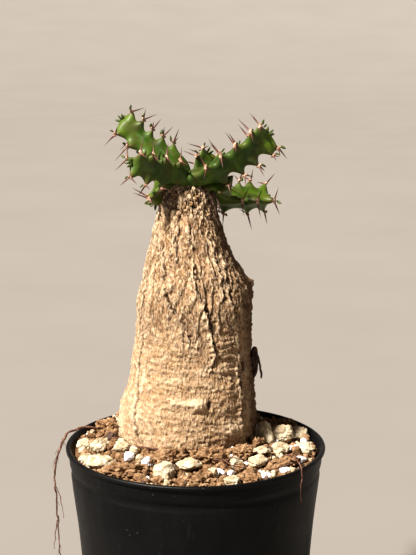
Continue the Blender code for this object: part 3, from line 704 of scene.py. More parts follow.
# a path is counted in millimetres from the middle of the crown. A ridge has its turn and its teeth,
# counted back from the tip, and twist turns all of them towards the base.
# bright is how much fresh green a whole branch is painted with: painted light, higher where the branch stood
# lit, and none on the stub in shade
branches = (
    {"name": "LeftUpper", "node": "branch_left_upper", "thick": 1.0, "twist": 0.6,
     "path": ((0, 0, 3), (-2.6, 0.8, 11.4), (-8.4, 1.6, 14.8), (-14.8, 3.0, 18.6), (-19.0, 4.5, 22.8),
     (-22.2, 6.0, 27.2)),
     "ridges": ((92, (0.6, 5.8, 11.2, 16.6, 21.5)), (-26, (4.2, 9.6, 15.2)), (218, (2.2, 6.6, 12.4)))},
    {"name": "LeftFront", "node": "branch_left_front", "thick": 1.0, "twist": 0.3,
     "path": ((0, 0, 3), (-1.2, -4.2, 8.4), (-6.2, -7.6, 10.8), (-12.4, -11.2, 12.8), (-18.4, -14.8, 15.0)),
     "ridges": ((45, (1.2, 5.8, 11.2, 16.6)), (-72, (0.8, 7.0, 13.0)), (168, (2.2, 8.0, 14.0)))},
    {"name": "LeftBack", "node": "branch_left_back", "thick": 0.95, "bright": 0.9, "twist": 0.0,
     "path": ((0, 0, 2), (-4.4, -0.4, 5.4), (-8.6, 0.0, 3.6), (-11.6, 0.8, -1.2)),
     "ridges": ((10, (3.2, 8.4)), (130, (1.0, 6.0)), (250, (2.0, 6.6)))},
    {"name": "Centre", "node": "branch_centre", "thick": 0.72, "twist": 0.0,
     "path": ((0, 0, 3), (3.0, 2.6, 8.6), (5.2, 4.6, 12.8), (6.6, 6.2, 16.0)),
     "ridges": ((100, (0.7, 4.6)), (-20, (0.9, 5.0)), (220, (0.8, 5.4)))},
    {"name": "RightUpper", "node": "branch_right_upper", "thick": 1.04, "twist": 0.9,
     "path": ((0, 0, 3), (1.2, -4.2, 8.0), (7.0, -7.6, 10.4), (13.0, -9.2, 14.2), (18.9, -11.0, 18.1),
     (27.0, -12.4, 24.7)),
     "ridges": ((140, (0.9, 4.4, 11.1, 17.0, 23.4)), (262, (1.2, 4.1, 9.8, 15.0, 22.0)),
     (20, (2.6, 8.0, 14.0, 20.0)))},
    {"name": "RightStub", "node": "branch_right_stub", "thick": 0.82, "twist": 0.0, "bare": True,
    "bright": 0.0,
     "path": ((0, 0, 3), (4.8, -1.4, 6.4), (9.6, -3.4, 6.0), (14.6, -5.6, 5.0)),
     "ridges": ((75, (1.0, 6.0)), (195, (2.2, 7.2)), (315, (1.2, 6.4)))},
    {"name": "RightLower", "node": "branch_right_lower", "thick": 1.06, "twist": 0.2,
     "path": ((0, 0, 2), (6.4, 2.0, 4.2), (11.8, 4.2, 1.0), (17.4, 7.0, -0.4), (22.3, 9.0, -0.6),
     (28.2, 12.0, -1.0)),
     "bright": 0.45, "ridges": ((66, (0.9, 7.0, 11.6)), (178, (2.2, 8.2, 14.6)), (298, (0.8, 7.4, 15.4)))},
)
crown = Vector((trunkSection(1)[1], trunkAxis.y, soilLevel + trunkHeight * 0.955))


def through(knots, steps=24):
    # a smooth line through given points
    points = []
    ends = [knots[0] * 2 - knots[1], *knots, knots[-1] * 2 - knots[-2]]
    for before, low, high, after in zip(ends, ends[1:], ends[2:], ends[3:]):
        for i in range(steps):
            t = i / steps
            points.append(low * 0.5 * (2 - 5 * t * t + 3 * t**3) + high * 0.5 * (t + 4 * t * t - 3 * t**3)
                          + before * 0.5 * (2 * t * t - t - t**3) + after * 0.5 * (t**3 - t * t))
    return points + [knots[-1]]


def stemPath(branch):
    # centre line from inside the crown to the tip, in fine steps with running lengths
    points = through([crown + Vector(knot) / 1000 for knot in branch["path"]])
    lengths = [0.0]
    for before, after in zip(points, points[1:]):
        lengths.append(lengths[-1] + (after - before).length)
    first = next(i for i, length in enumerate(lengths) if length > stem["start"] / 1000)
    return points[first:], [length - lengths[first] for length in lengths[first:]]


def ridgeTurn(branch, ridge, s, length):
    return math.radians(ridge + branch["twist"] * (length - s) * 1000)


def pathAt(points, lengths, s):
    k = 0
    while k < len(points) - 2 and lengths[k + 1] < s:
        k += 1
    share = min(1.0, max(0.0, (s - lengths[k]) / (lengths[k + 1] - lengths[k])))
    heading = (points[k + 1] - points[k]).normalized()
    above = (Vector((0, 0, 1)) - heading * heading.z).normalized()
    return points[k].lerp(points[k + 1], share), heading, above.cross(heading), above


def stemReach(branch, turn, s, length):
    # millimetres from the centre line, how near a ridge the spot is, and how much of a tooth it has
    nearest = min(abs(turnAway(turn, ridgeTurn(branch, ridge, s, length))) for ridge,
        teeth in branch["ridges"])
    angle = math.degrees(nearest)
    reach = stem["face"] + (stem["ridge"] - stem["face"]) * math.exp(-((angle / 30) ** 2))
    point = 0.0
    for ridge, teeth in branch["ridges"]:
        away = math.degrees(abs(turnAway(turn, ridgeTurn(branch, ridge, s, length))))
        if away > 60:
            continue
        for tooth in teeth:
            gap = length * 1000 - tooth - s * 1000
            broad = math.exp(-((gap / 2.1) ** 2) - (away / 26) ** 2)
            sharp = math.exp(-(abs(gap) / 1.15) ** 1.3 - (away / 12) ** 1.4)
            reach += stem["swell"] * broad + stem["peak"] * sharp
            point = max(point, sharp)
    left = max(0.0, length - s) * 1000 / stem["blunt"]
    tipScale = math.sqrt(max(0.0, 1 - (1 - min(1.0, left)) ** 2))
    neck = mix(0.80, 1.0, ease(s / 0.006))
    tipScale = mix(tipScale, 1.0, 0.35 * point * ease(left * 3))
    return reach * tipScale * neck * branch["thick"], math.exp(-((angle / 14) ** 2)), point


def stemFinish():
    look = Finish("stemSkin", Specular_IOR_Level=0.30)
    ridge = look.attribute("ridge")
    tooth = look.attribute("tooth")
    young = look.attribute("young")
    mottle = look.noise(2.4, 4, 0.6)
    broad = look.noise(7, 2)
    green = look.ramp(broad, [(0.38, (0.008, 0.028, 0.002)), (0.50, (0.021, 0.060, 0.003)),
        (0.62, (0.054, 0.108, 0.006))])
    dapple = look.blend(span(mottle, 0.50, 0.72) * 0.30, green, (0.055, 0.115, 0.010))
    dots = span(1 - look.cells(0.75), 0.80, 0.95) * span(look.noise(3), 0.45, 0.62)
    dotted = look.blend(dots * 0.30, dapple, (0.20, 0.26, 0.12))
    bloom = look.blend(span(look.noise(4.2, 3, 0.5, None, 0.6), 0.50, 0.64) * 0.36, dotted,
        (0.105, 0.160, 0.075))
    dusky = look.blend(span(look.noise(5.0, 3, 0.5, look.stretched((1, 1.2, 0.9), (0.4, 0.9, 0.2))), 0.50,
        0.62) * 0.6,
                       bloom, (0.050, 0.040, 0.008))
    # fresher green on young tips, and painted light over whole branches that stood lit
    freshAndLit = look.blend(young * 0.45, dusky, (0.150, 0.205, 0.018))
    edged = look.blend(ridge * 0.30, freshAndLit, (0.130, 0.180, 0.040))
    tipped = look.blend((tooth * 1.5 - 0.35).clamped() * 0.85, edged, (0.11, 0.055, 0.03))
    skin = look.bump(look.noise(0.8, 4, 0.6), 0.10, 0.35)
    return look.done(tipped, 0.34 + mottle * 0.20, look.bump(broad, 0.5, 0.3, skin))


def makeStem(branch, finish):
    points, lengths = stemPath(branch)
    length = lengths[-1]
    cuts = int(length * 1000 / stem["step"])
    bpy.ops.mesh.primitive_cylinder_add(
        vertices=stem["sides"], radius=1, depth=1, location=(0, 0, 0.5), end_fill_type="TRIFAN")
    piece = newest("stem" + branch["name"])
    settle(piece)
    bpy.ops.object.mode_set(mode="EDIT")
    bpy.ops.mesh.select_all(action="DESELECT")
    bpy.ops.object.mode_set(mode="OBJECT")
    mesh = piece.data
    for edge in mesh.edges:
        first, second = [mesh.vertices[i].co for i in edge.vertices]
        edge.select = abs(first.z - second.z) > 0.5
    bpy.ops.object.mode_set(mode="EDIT")
    bpy.ops.mesh.subdivide(number_cuts=cuts)
    bpy.ops.object.mode_set(mode="OBJECT")
    ridges, teeth, youngAndLitShares = [], [], []

    def wrap(place, normal):
        s = length * (1 - (1 - place.z) ** 1.25)
        turn = math.atan2(place.y, place.x)
        centre, heading, side, above = pathAt(points, lengths, s)
        reach, ridge, point = stemReach(branch, turn, s, length)
        ridges.append(ridge)
        teeth.append(point)
        # young growth near the tip, elsewhere the branch's bright share as painted light
        youngAndLitShares.append(max(branch.get("bright", 0.15), ease((s - length + 0.009) / 0.009) * 0.6))
        out = side * math.cos(turn) + above * math.sin(turn)
        rim = min(1.0, math.hypot(place.x, place.y))
        rough = 1 + 0.035 * noise.noise((centre + out * 0.004) * 260)
        return centre + out * reach * rim * rough / 1000 + heading * point * 0.0006

    sculpt(piece, wrap)
    paintAttribute(piece, "ridge", ridges)
    paintAttribute(piece, "tooth", teeth)
    paintAttribute(piece, "young", youngAndLitShares)
    dress(piece, finish, (branch["node"],))


def spineTemplate():
    # one thorn, a millimetre across and one long, growing from a swollen foot to a fine point
    bpy.ops.mesh.primitive_circle_add(vertices=7, radius=0.5, fill_type="NGON", location=(0, 0, 0))
    piece = newest("thornPattern")
    bpy.ops.object.mode_set(mode="EDIT")
    size = 1.0
    for rise, width, drift in ((0.10, 0.72, 0.0), (0.35, 0.50, 0.02), (0.30, 0.26, 0.03), (0.25, 0.05, 0.05)):
        bpy.ops.mesh.extrude_region_move(TRANSFORM_OT_translate={"value": (drift, 0, rise)})
        bpy.ops.transform.resize(value=(width / size, width / size, 1))
        size = width
    bpy.ops.mesh.select_all(action="SELECT")
    bpy.ops.mesh.normals_make_consistent(inside=False)
    bpy.ops.object.mode_set(mode="OBJECT")
    settle(piece)
    paintAttribute(piece, "along", [vertex.co.z for vertex in piece.data.vertices])
    return piece


def budTemplate(name, segments, rings, shape):
    bpy.ops.mesh.primitive_uv_sphere_add(segments=segments, ring_count=rings, radius=0.5)
    piece = newest(name)
    settle(piece)
    sculpt(piece, shape)
    return piece


def thornFinish():
    look = Finish("thorns", Specular_IOR_Level=0.4)
    along = look.attribute("along")
    colour = look.ramp(along, [(0.0, (0.46, 0.34, 0.27)), (0.18, (0.150, 0.046, 0.030)),
        (0.5, (0.082, 0.034, 0.027)), (1.0, (0.045, 0.030, 0.026))])
    paler = look.blend(span(look.noise(2.2, 2), 0.5, 0.7) * 0.4, colour, (0.19, 0.130, 0.115))
    return look.done(paler, 0.42 + look.noise(0.5) * 0.2, look.bump(look.noise(0.4, 3), 0.05, 0.5))


def shieldFinish():
    look = Finish("thornShields", Specular_IOR_Level=0.3)
    tone = look.ramp(look.noise(0.8, 4, 0.65),
        [(0.36, (0.12, 0.045, 0.022)), (0.50, (0.36, 0.215, 0.14)), (0.64, (0.66, 0.54, 0.46))])
    return look.done(tone, 0.55 + look.noise(0.4) * 0.3, look.bump(look.noise(0.35, 3), 0.06, 0.6))


def leafletFinish():
    look = Finish("leaflets", Specular_IOR_Level=0.4)
    tone = look.ramp(look.noise(1.1, 3),
        [(0.35, (0.025, 0.045, 0.007)), (0.6, (0.075, 0.105, 0.015)), (0.8, (0.16, 0.13, 0.035))])
    return look.done(tone, 0.45 + look.noise(0.6) * 0.2, look.bump(look.noise(0.4, 2), 0.05, 0.5))


def makeArms(branch, finishes, patterns, chance):
    # thorns, their shields and the tiny leaves of one branch
    points, lengths = stemPath(branch)
    length = lengths[-1]
    thorns, shields, leaves = [], [], []
    small = mix(1.0, branch["thick"], 0.6)
    for ridge, teeth in branch["ridges"]:
        for tooth in teeth:
            s = length - tooth / 1000
            if s < 0.004:
                continue
            turn = ridgeTurn(branch, ridge, s, length)
            centre, heading, side, above = pathAt(points, lengths, s)
            out = side * math.cos(turn) + above * math.sin(turn)
            across = heading.cross(out)
            apex = centre + out * (stemReach(branch, turn, s, length)[0] - 0.15) / 1000 + heading * 0.0007
            shields.append(copyOf(patterns["shield"], facing(apex, out, (0.0012, 0.0022 * small, 0.0010), 0)))
            for sign in (-1, 1):
                splay = math.radians(stem["splay"] + chance.uniform(-14, 12))
                lean = heading * chance.uniform(-0.16, 0.16)
                direction = (out * math.cos(splay) + across * sign * math.sin(splay) + lean).normalized()
                reach = stem["spineLength"] * chance.uniform(0.72, 1.12) / 1000 * small
                thick = stem["spineThick"] * chance.uniform(0.9, 1.15) / 1000
                base = apex + across * sign * 0.0004
                matrix = facing(base, direction, (thick, thick, reach), chance.uniform(0, 6.28))
                thorns.append(copyOf(patterns["thorn"], matrix))
            if chance.random() < 0.75:
                direction = (out * 0.9 + heading * chance.uniform(0.2, 0.9) + across
                    * chance.uniform(-0.5, 0.5)).normalized()
                size = chance.uniform(0.0016, 0.0024) * small
                base = apex + heading * 0.0009 - out * 0.0002
                leaves.append(copyOf(patterns["leaf"],
                    facing(base, direction, (0.0009, 0.0006, size), chance.uniform(0, 3))))
    centre, heading, side, above = pathAt(points, lengths, length)
    for i in range(5):
        turn = i * 1.256 + chance.uniform(-0.4, 0.4)
        out = side * math.cos(turn) + above * math.sin(turn)
        direction = (heading + out * chance.uniform(0.3, 0.9)).normalized()
        base = centre + out * 0.0007 - heading * 0.0003
        leaves.append(copyOf(patterns["leaf"],
            facing(base, direction, (0.0009, 0.0006, chance.uniform(0.0014, 0.0024)), turn)))
    for group, kind, slot in ((thorns, "thorns", "dry_wood"), (shields, "shields", "dry_wood"),
        (leaves, "leaflets", "stem_skin")):
        dress(joinUp(group, kind + branch["name"]), finishes[kind])


def makeBranches():
    skin = stemFinish()
    finishes = {"thorns": thornFinish(), "shields": shieldFinish(), "leaflets": leafletFinish()}
    patterns = {
        "thorn": spineTemplate(),
        "shield": budTemplate("shieldPattern", 8, 6, lambda place, normal: place),
        "leaf": budTemplate("leafPattern", 7, 7, lambda place, normal: Vector(
            (place.x * (1 - place.z * 0.9), place.y, place.z + 0.5 + 0.3 * place.x * place.x))),
    }
    chance = random.Random(11)
    for branch in branches:
        makeStem(branch, skin)
        if not branch.get("bare"):
            makeArms(branch, finishes, patterns, chance)
    for pattern in patterns.values():
        bpy.data.objects.remove(pattern)


makeBranches()
print("branches made")


# grit: the loose mix and its stones

grit = {
    "level": 82.9, "mound": 3.2, "reach": 10.0, "edge": 42.0, "cell": 0.46, "lumps": 2.6, "lumpHeight": 1.1,
    "crumbs": 2500, "seed": 5, "largeShare": 0.16, "large": (1.1, 2.0), "small": (0.35, 1.1), "spread": 42.2,
    "clear": 1.0, "tall": {"pumice_11": 1.6, "pumice_12": 1.3, "pumice_02": 1.25},
}
stones = {
    "pumice": {"slot": "pumice_stone", "facets": 11, "depth": (0.74, 1.0), "hard": 11, "rough": 0.15,
    "fine": 0.09, "swell": 1.15},
    "perlite": {"slot": "perlite_stone", "facets": 14, "depth": (0.85, 1.0), "hard": 6, "rough": 0.12,
    "fine": 0.05, "swell": 1.1},
    "akadama": {"slot": "akadama_clay", "facets": 8, "depth": (0.8, 1.0), "hard": 6, "rough": 0.36,
    "fine": 0.30, "grains": 4.6, "swell": 1.25},
    "dark": {"slot": "dry_wood", "facets": 7, "depth": (0.7, 1.0), "hard": 10, "rough": 0.2, "fine": 0.1,
    "swell": 1.0},
}
footCentre = Vector((trunkSection(0)[1], trunkAxis.y, 0))


def gritLevel(x, y):
    away = math.hypot(x - footCentre.x, y - footCentre.y) * 1000 - trunk["girth"]
    mound = grit["mound"] * math.exp(-(max(away, 0) / grit["reach"]) ** 2)
    roll = 0.5 * noise.noise(Vector((x * 120, y * 120, 0.3)))
    return (grit["level"] + mound + roll) / 1000


def facetSet(kind, chance):
    facets = []
    for i in range(kind["facets"]):
        normal = Vector((chance.gauss(0, 1), chance.gauss(0, 1), chance.gauss(0, 1))).normalized()
        facets.append((normal, chance.uniform(*kind["depth"])))
    return facets


def stoneReach(direction, facets, kind, offset):
    # a rounded many-sided lump: reach of its skin in one direction
    power = kind["hard"]
    total = sum((max(0.0, direction.dot(normal)) / depth) ** power for normal, depth in facets)
    reach = min(1.25, max(total, 0.15) ** (-1 / power))
    rough = noise.noise(direction * 2.3 + offset) + 0.5 * noise.noise(direction * 5 + offset)
    near = noise.voronoi(direction * kind.get("grains", 3.4) + offset)[0]
    return reach * (1 + kind["rough"] * rough + kind["fine"] * (0.5 - near[0]) * 1.6)


def pumiceFinish():
    look = Finish("pumice", Specular_IOR_Level=0.2)
    patch = look.noise(2.6, 5, 0.62)
    cream = look.ramp(patch, [(0.3, (0.27, 0.195, 0.115)), (0.5, (0.48, 0.405, 0.285)),
        (0.68, (0.66, 0.605, 0.49))])
    pores = 1 - span(look.cells(0.62), 0.10, 0.30)
    pored = look.blend(pores * 0.55 * span(look.noise(1.4), 0.42, 0.6), cream, (0.22, 0.13, 0.06))
    dirt = look.blend(span(look.noise(3.3, 4), 0.56, 0.72) * 0.55, pored, (0.32, 0.19, 0.09))
    relief = look.bump(look.noise(0.55, 5, 0.65), 0.16, 0.7)
    return look.done(dirt, 0.78 + patch * 0.2, look.bump(1 - pores, 0.12, 0.5, relief))


def perliteFinish():
    look = Finish("perlite", Specular_IOR_Level=0.3)
    tone = look.ramp(look.noise(1.6, 4), [(0.3, (0.50, 0.49, 0.51)), (0.6, (0.76, 0.76, 0.79))])
    return look.done(tone, 0.6 + look.noise(0.8) * 0.3, look.bump(look.noise(0.6, 4), 0.12, 0.6))


def akadamaFinish():
    look = Finish("akadamaClay", Specular_IOR_Level=0.15)
    patch = look.noise(2.2, 5, 0.65)
    brown = look.ramp(patch, [(0.30, (0.052, 0.025, 0.011)), (0.48, (0.205, 0.118, 0.060)),
        (0.70, (0.47, 0.315, 0.195))])
    grains = look.blend(span(1 - look.cells(0.7), 0.62, 0.9) * 0.4, brown, (0.50, 0.34, 0.21))
    relief = look.bump(look.noise(0.5, 6, 0.7), 0.30, 0.9)
    return look.done(grains, 0.85 + patch * 0.15, look.bump(look.cells(0.8), 0.25, 0.6, relief))


def darkFinish():
    look = Finish("darkBits", Specular_IOR_Level=0.25)
    tone = look.ramp(look.noise(1.4, 5, 0.65), [(0.35, (0.035, 0.020, 0.014)), (0.65, (0.13, 0.085, 0.065))])
    return look.done(tone, 0.7 + look.noise(0.9) * 0.25, look.bump(look.noise(0.4, 4), 0.15, 0.8))


def makeStone(node, kind, finish, seed):
    settings = stones[kind]
    low, high = [Vector(corner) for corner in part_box(node)]
    chance = random.Random(seed)
    facets = facetSet(settings, chance)
    offset = Vector((seed * 3.7, seed * 1.3, seed * 2.1))
    bpy.ops.mesh.primitive_ico_sphere_add(subdivisions=5, radius=1)
    piece = newest(node.replace("_", ""))
    half = (high - low) / 2 * settings["swell"]
    half.z *= grit["tall"].get(node, 1.0)
    middle = (low + high) / 2 - Vector((0, 0, (high.z - low.z) * 0.16))

    def chip(place, normal):
        direction = place.normalized()
        shape = direction * stoneReach(direction, facets, settings, offset)
        return middle + Vector((shape.x * half.x, shape.y * half.y, shape.z * half.z))

    sculpt(piece, chip)
    dress(piece, finish, (node,))
    return middle, max(half.x, half.y)


def makeGritBed(finish):
    # a slab whose top is packed with small grains
    count = int(2 * grit["edge"] / grit["cell"])
    bpy.ops.mesh.primitive_grid_add(x_subdivisions=count, y_subdivisions=count, size=2 * grit["edge"] / 1000)
    piece = newest("gritBed")
    bpy.ops.object.mode_set(mode="EDIT")
    bpy.ops.mesh.select_mode(type="FACE")
    bpy.ops.mesh.select_all(action="DESELECT")
    bpy.ops.object.mode_set(mode="OBJECT")
    for face in piece.data.polygons:
        middle = face.center
        inTrunk = (Vector((middle.x, middle.y, 0)) - footCentre).length < 0.020
        face.select = math.hypot(middle.x, middle.y) > grit["edge"] / 1000 or inTrunk
    bpy.ops.object.mode_set(mode="EDIT")
    bpy.ops.mesh.delete(type="FACE")
    bpy.ops.object.mode_set(mode="OBJECT")

    def grain(place, normal):
        spot = Vector((place.x, place.y, 0)) * 1000
        spot += noise.noise_vector(spot * 0.5) * 0.7
        near = noise.voronoi(spot / grit["lumps"])[0]
        small = noise.voronoi(spot / 1.1 + Vector((5, 2, 7)))[0]
        rise = grit["lumpHeight"] * (0.45 - near[0]) + 0.45 * (0.4 - small[0])
        pull = min(1.0, (grit["edge"] / 1000) / max(0.001, place.length))
        x, y = pull * place.x, pull * place.y
        return Vector((x, y, gritLevel(x, y) + rise / 1000))

    sculpt(piece, grain)
    thick = piece.modifiers.new("body", "SOLIDIFY")
    thick.thickness = 0.004
    thick.offset = -1
    settle(piece)

    def keepIn(place, normal):
        inward = min(1.0, (grit["edge"] - 0.3) / 1000 / max(0.001, math.hypot(place.x, place.y)))
        return Vector((place.x * inward, place.y * inward, place.z))

    sculpt(piece, keepIn)
    dress(piece, finish)


def makeSoilBody(finish):
    # what fills the pot under the loose top
    wall = lambda z: potSide(z) - pot["wall"] - grit["clear"]
    rows = [(wall(2) - 2.0, 1.7), (wall(3), 3.0)] + [(wall(z), z) for z in range(10, 90, 10)]
    bpy.ops.mesh.primitive_circle_add(
        vertices=96, radius=rows[0][0] / 1000, location=(0, 0, rows[0][1] / 1000), fill_type="TRIFAN")
    piece = newest("soilBody")
    settle(piece)
    raiseRings(piece, [(radius / 1000, (0, 0, height / 1000)) for radius, height in rows])
    lumps = lambda place, normal: place - normal * 0.0004 * (1 + noise.noise(place * 900))
    sculpt(piece, lumps)
    dress(piece, finish, ("soil_bed",), 40)


def makeCrumbs(finishes, taken):
    chance = random.Random(grit["seed"])
    patterns = {}
    for kind, settings in stones.items():
        patterns[kind] = []
        for i in range(6):
            facets = facetSet(settings, chance)
            offset = Vector((i * 5.1, i * 2.2, len(kind)))
            bpy.ops.mesh.primitive_ico_sphere_add(subdivisions=3 if i < 2 else 2, radius=1)
            pattern = newest(kind + "Pattern")
            sculpt(pattern, lambda place, normal: place.normalized()
                * stoneReach(place.normalized(), facets, settings, offset))
            patterns[kind].append(pattern)
    heaps = {kind: [] for kind in stones}
    placed = []
    for i in range(grit["crumbs"]):
        large = i < grit["crumbs"] * grit["largeShare"]
        size = chance.uniform(*grit["large"]) if large else chance.uniform(*grit["small"])
        turn, reach = chance.uniform(0, 2 * math.pi), grit["spread"] * math.sqrt(chance.uniform(0.12, 1))
        x, y = reach * math.cos(turn), reach * math.sin(turn)
        foot = math.hypot(x - footCentre.x * 1000, y - footCentre.y * 1000)
        if foot < trunk["girth"] + size * 0.4 or reach > 42.3 - size:
            continue
        if any(math.hypot(x - a, y - b) < c * 0.80 + size * 0.6 for a, b, c in taken):
            continue
        if any(math.hypot(x - a, y - b) < (c + size) * 0.72 for a, b, c in placed):
            continue
        placed.append((x, y, size))
        # fewer pale stones behind and right of the trunk, where its shadow falls, so the mix there reads
        # darker as painted shade; more pale stones at the far left and right
        pale = 0.08 if x > 16 and y > 6 else 0.40 if x < -18 or x > 24 else 0.16
        roll = chance.random()
        kind = "pumice" if roll < pale else "perlite" if roll < pale + 0.05 else "akadama"
        if pale + 0.05 <= roll < pale + 0.10:
            kind = "dark"
        rise = gritLevel(x / 1000, y / 1000) + size * chance.uniform(0.05, 0.5) / 1000
        turnMatrix = Matrix.Rotation(chance.uniform(0, 6.28), 4,
            Vector((chance.gauss(0, 1), chance.gauss(0, 1), chance.gauss(0, 1))).normalized())
        shape = Matrix.Diagonal([size / 1000 * chance.uniform(0.75, 1.1) for k in range(3)] + [1])
        pattern = patterns[kind][chance.randrange(0, 2) if large else chance.randrange(2, 6)]
        heaps[kind].append(copyOf(pattern,
            Matrix.Translation((x / 1000, y / 1000, rise)) @ turnMatrix @ shape))
    for kind, heap in heaps.items():
        dress(joinUp(heap, kind + "Crumbs"), finishes[kind])
    for group in patterns.values():
        for pattern in group:
            bpy.data.objects.remove(pattern)
    print("crumbs placed:", len(placed))


def soilFinish():
    look = Finish("soilMix", Specular_IOR_Level=0.15)
    tone = look.ramp(look.noise(1.8, 5, 0.65),
        [(0.3, (0.05, 0.024, 0.011)), (0.52, (0.15, 0.083, 0.041)), (0.68, (0.36, 0.235, 0.140))])
    return look.done(tone, 0.85 + look.noise(0.8) * 0.15, look.bump(look.noise(0.7, 5, 0.7), 0.4, 0.9))


def makeGrit():
    finishes = {"pumice": pumiceFinish(), "perlite": perliteFinish(), "akadama": akadamaFinish(),
        "dark": darkFinish()}
    bed = soilFinish()
    makeSoilBody(bed)
    makeGritBed(bed)
    taken = []
    for seed, node in enumerate(sorted(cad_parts)):
        kind = node.split("_")[0]
        kind = "dark" if kind == "bark" else kind
        if kind in stones:
            middle, half = makeStone(node, kind, finishes[kind], seed)
            taken.append((middle.x * 1000, middle.y * 1000, half * 1000))
    makeCrumbs(finishes, taken)


makeGrit()
print("grit made")


# roots, litter and other dry bits

dry = {
    "rootThick": 0.50, "rootThin": 0.18, "hairs": 16, "chips": 130, "chipSize": (0.7, 1.9), "fibres": 34,
    "wisps": 12,
}


def strand(knots, thick, thin, wobble=0.25, seed=0.0, rings=1):
    # a tapering thread through given points; all sizes in millimetres
    line = through([Vector(knot) / 1000 for knot in knots], 12)
    curve = bpy.data.curves.new("thread", "CURVE")
    curve.dimensions = "3D"
    curve.bevel_depth = 1.0
    curve.bevel_resolution = rings
    curve.use_fill_caps = True
    path = curve.splines.new("POLY")
    path.points.add(len(line) - 1)
    for i, point in enumerate(line):
        t = i / (len(line) - 1)
        sway = noise.noise_vector(point * 420 + Vector((seed, 0, 0))) * wobble / 1000 * min(1.0, t * 6)
        path.points[i].co = (*(point + sway), 1)
        knobby = 1 + 0.28 * noise.noise(point * 700 + Vector((0, seed, 0)))
        path.points[i].radius = mix(thick, thin, t) / 1000 * knobby
    piece = bpy.data.objects.new("thread", curve)
    bpy.context.scene.collection.objects.link(piece)
    pick(piece)
    bpy.ops.object.convert(target="MESH")
    bpy.ops.object.mode_set(mode="EDIT")
    bpy.ops.mesh.select_all(action="SELECT")
    bpy.ops.mesh.remove_doubles(threshold=0.000001)
    bpy.ops.mesh.normals_make_consistent(inside=False)
    bpy.ops.object.mode_set(mode="OBJECT")
    return newest("thread")


def byRim(turn, out, up):
    reach = rimRadius * 1000 + out
    return (reach * math.cos(math.radians(turn)), reach * math.sin(math.radians(turn)), rimHeight * 1000 + up)


def rootFinish():
    look = Finish("rootBark", Specular_IOR_Level=0.25)
    tone = look.ramp(look.noise(1.3, 4, 0.65),
        [(0.3, (0.055, 0.024, 0.016)), (0.55, (0.145, 0.070, 0.048)), (0.75, (0.33, 0.215, 0.160))])
    return look.done(tone, 0.7 + look.noise(0.8) * 0.25, look.bump(look.noise(0.3, 4), 0.08, 0.8))


def litterFinish():
    look = Finish("dryScales", Specular_IOR_Level=0.2)
    tone = look.ramp(look.noise(1.7, 4, 0.65),
        [(0.30, (0.085, 0.042, 0.020)), (0.48, (0.30, 0.180, 0.085)), (0.66, (0.70, 0.56, 0.38))])
    return look.done(tone, 0.75 + look.noise(0.8) * 0.2, look.bump(look.noise(0.3, 4), 0.08, 0.8))


def makeRoots(finish):
    chance = random.Random(23)
    main = [byRim(*knot) for knot in (
        (163, -8, 1.6), (166, -5.5, 2.5), (169, -3, 2.6), (173, -0.4, 2.0), (176, 1.4, 0.2), (178, 2.8, -3),
        (179.2, 3.9, -8),
        (180, 4.4, -13), (180, 4.0, -20), (180, 3.4, -27), (180.5, 3.3, -33), (181, 3.2, -38),
        (180, 2.6, -44))]
    threads = [strand(main, dry["rootThick"], dry["rootThin"], 0.5, 1.0, 2)]
    for start, knots in (
            (7, ((181, 3.4, -16.5), (182, 2.2, -21), (183, 1.2, -27))),
            (9, ((179, 4.2, -31), (178.2, 5.0, -35), (178, 5.4, -40))),
            (5, ((177, 3.6, -6.5), (176, 4.4, -10.5)))):
        threads.append(strand([main[start]] + [byRim(*knot) for knot in knots], 0.26, 0.09, 0.5, start))
    for i in range(dry["hairs"]):
        t = chance.uniform(0.1, 0.95) * (len(main) - 1)
        place = Vector(main[int(t)]).lerp(Vector(main[int(t) + 1]), t - int(t))
        reach = chance.uniform(1.2, 4.0)
        away = Vector((chance.uniform(-1, 0.5), chance.uniform(-1, 1),
            chance.uniform(-1.6, -0.2))).normalized() * reach
        threads.append(strand([place, place + away * 0.5 + Vector((0, 0, 0.3)), place + away], 0.10, 0.05,
            0.3, i))
    dress(joinUp(threads, "rootOverRimLeft"), finish, ("root_over_rim_left",))
    right = [byRim(*knot) for knot in (
        (-35, -8, 2.8), (-37, -5, 3.4), (-38.5, -2.4, 2.8), (-40, 0.2, 1.4), (-40.6, 1.2, -1.2),
        (-41, 1.3, -4.4),
        (-40.8, 1.1, -7.6), (-40.2, 0.9, -10.8))]
    threads = [strand(right, 0.32, 0.14, 0.4, 5.0), strand(
        [right[1], byRim(-33, -6, 2.6), byRim(-29, -7, 2.2)], 0.2, 0.08, 0.3, 6.0)]
    dress(joinUp(threads, "rootOverRimRight"), finish, ("root_over_rim_right",))


def footPoint(turn, out, up):
    # beside the trunk's foot: radians round it, millimetres out and up
    radius, lean = trunkSection(0.02)
    reach = radius * 1000 + out
    return (lean * 1000 + reach * math.cos(turn), trunkAxis.y * 1000 + reach * math.sin(turn),
        soilLevel * 1000 + up)


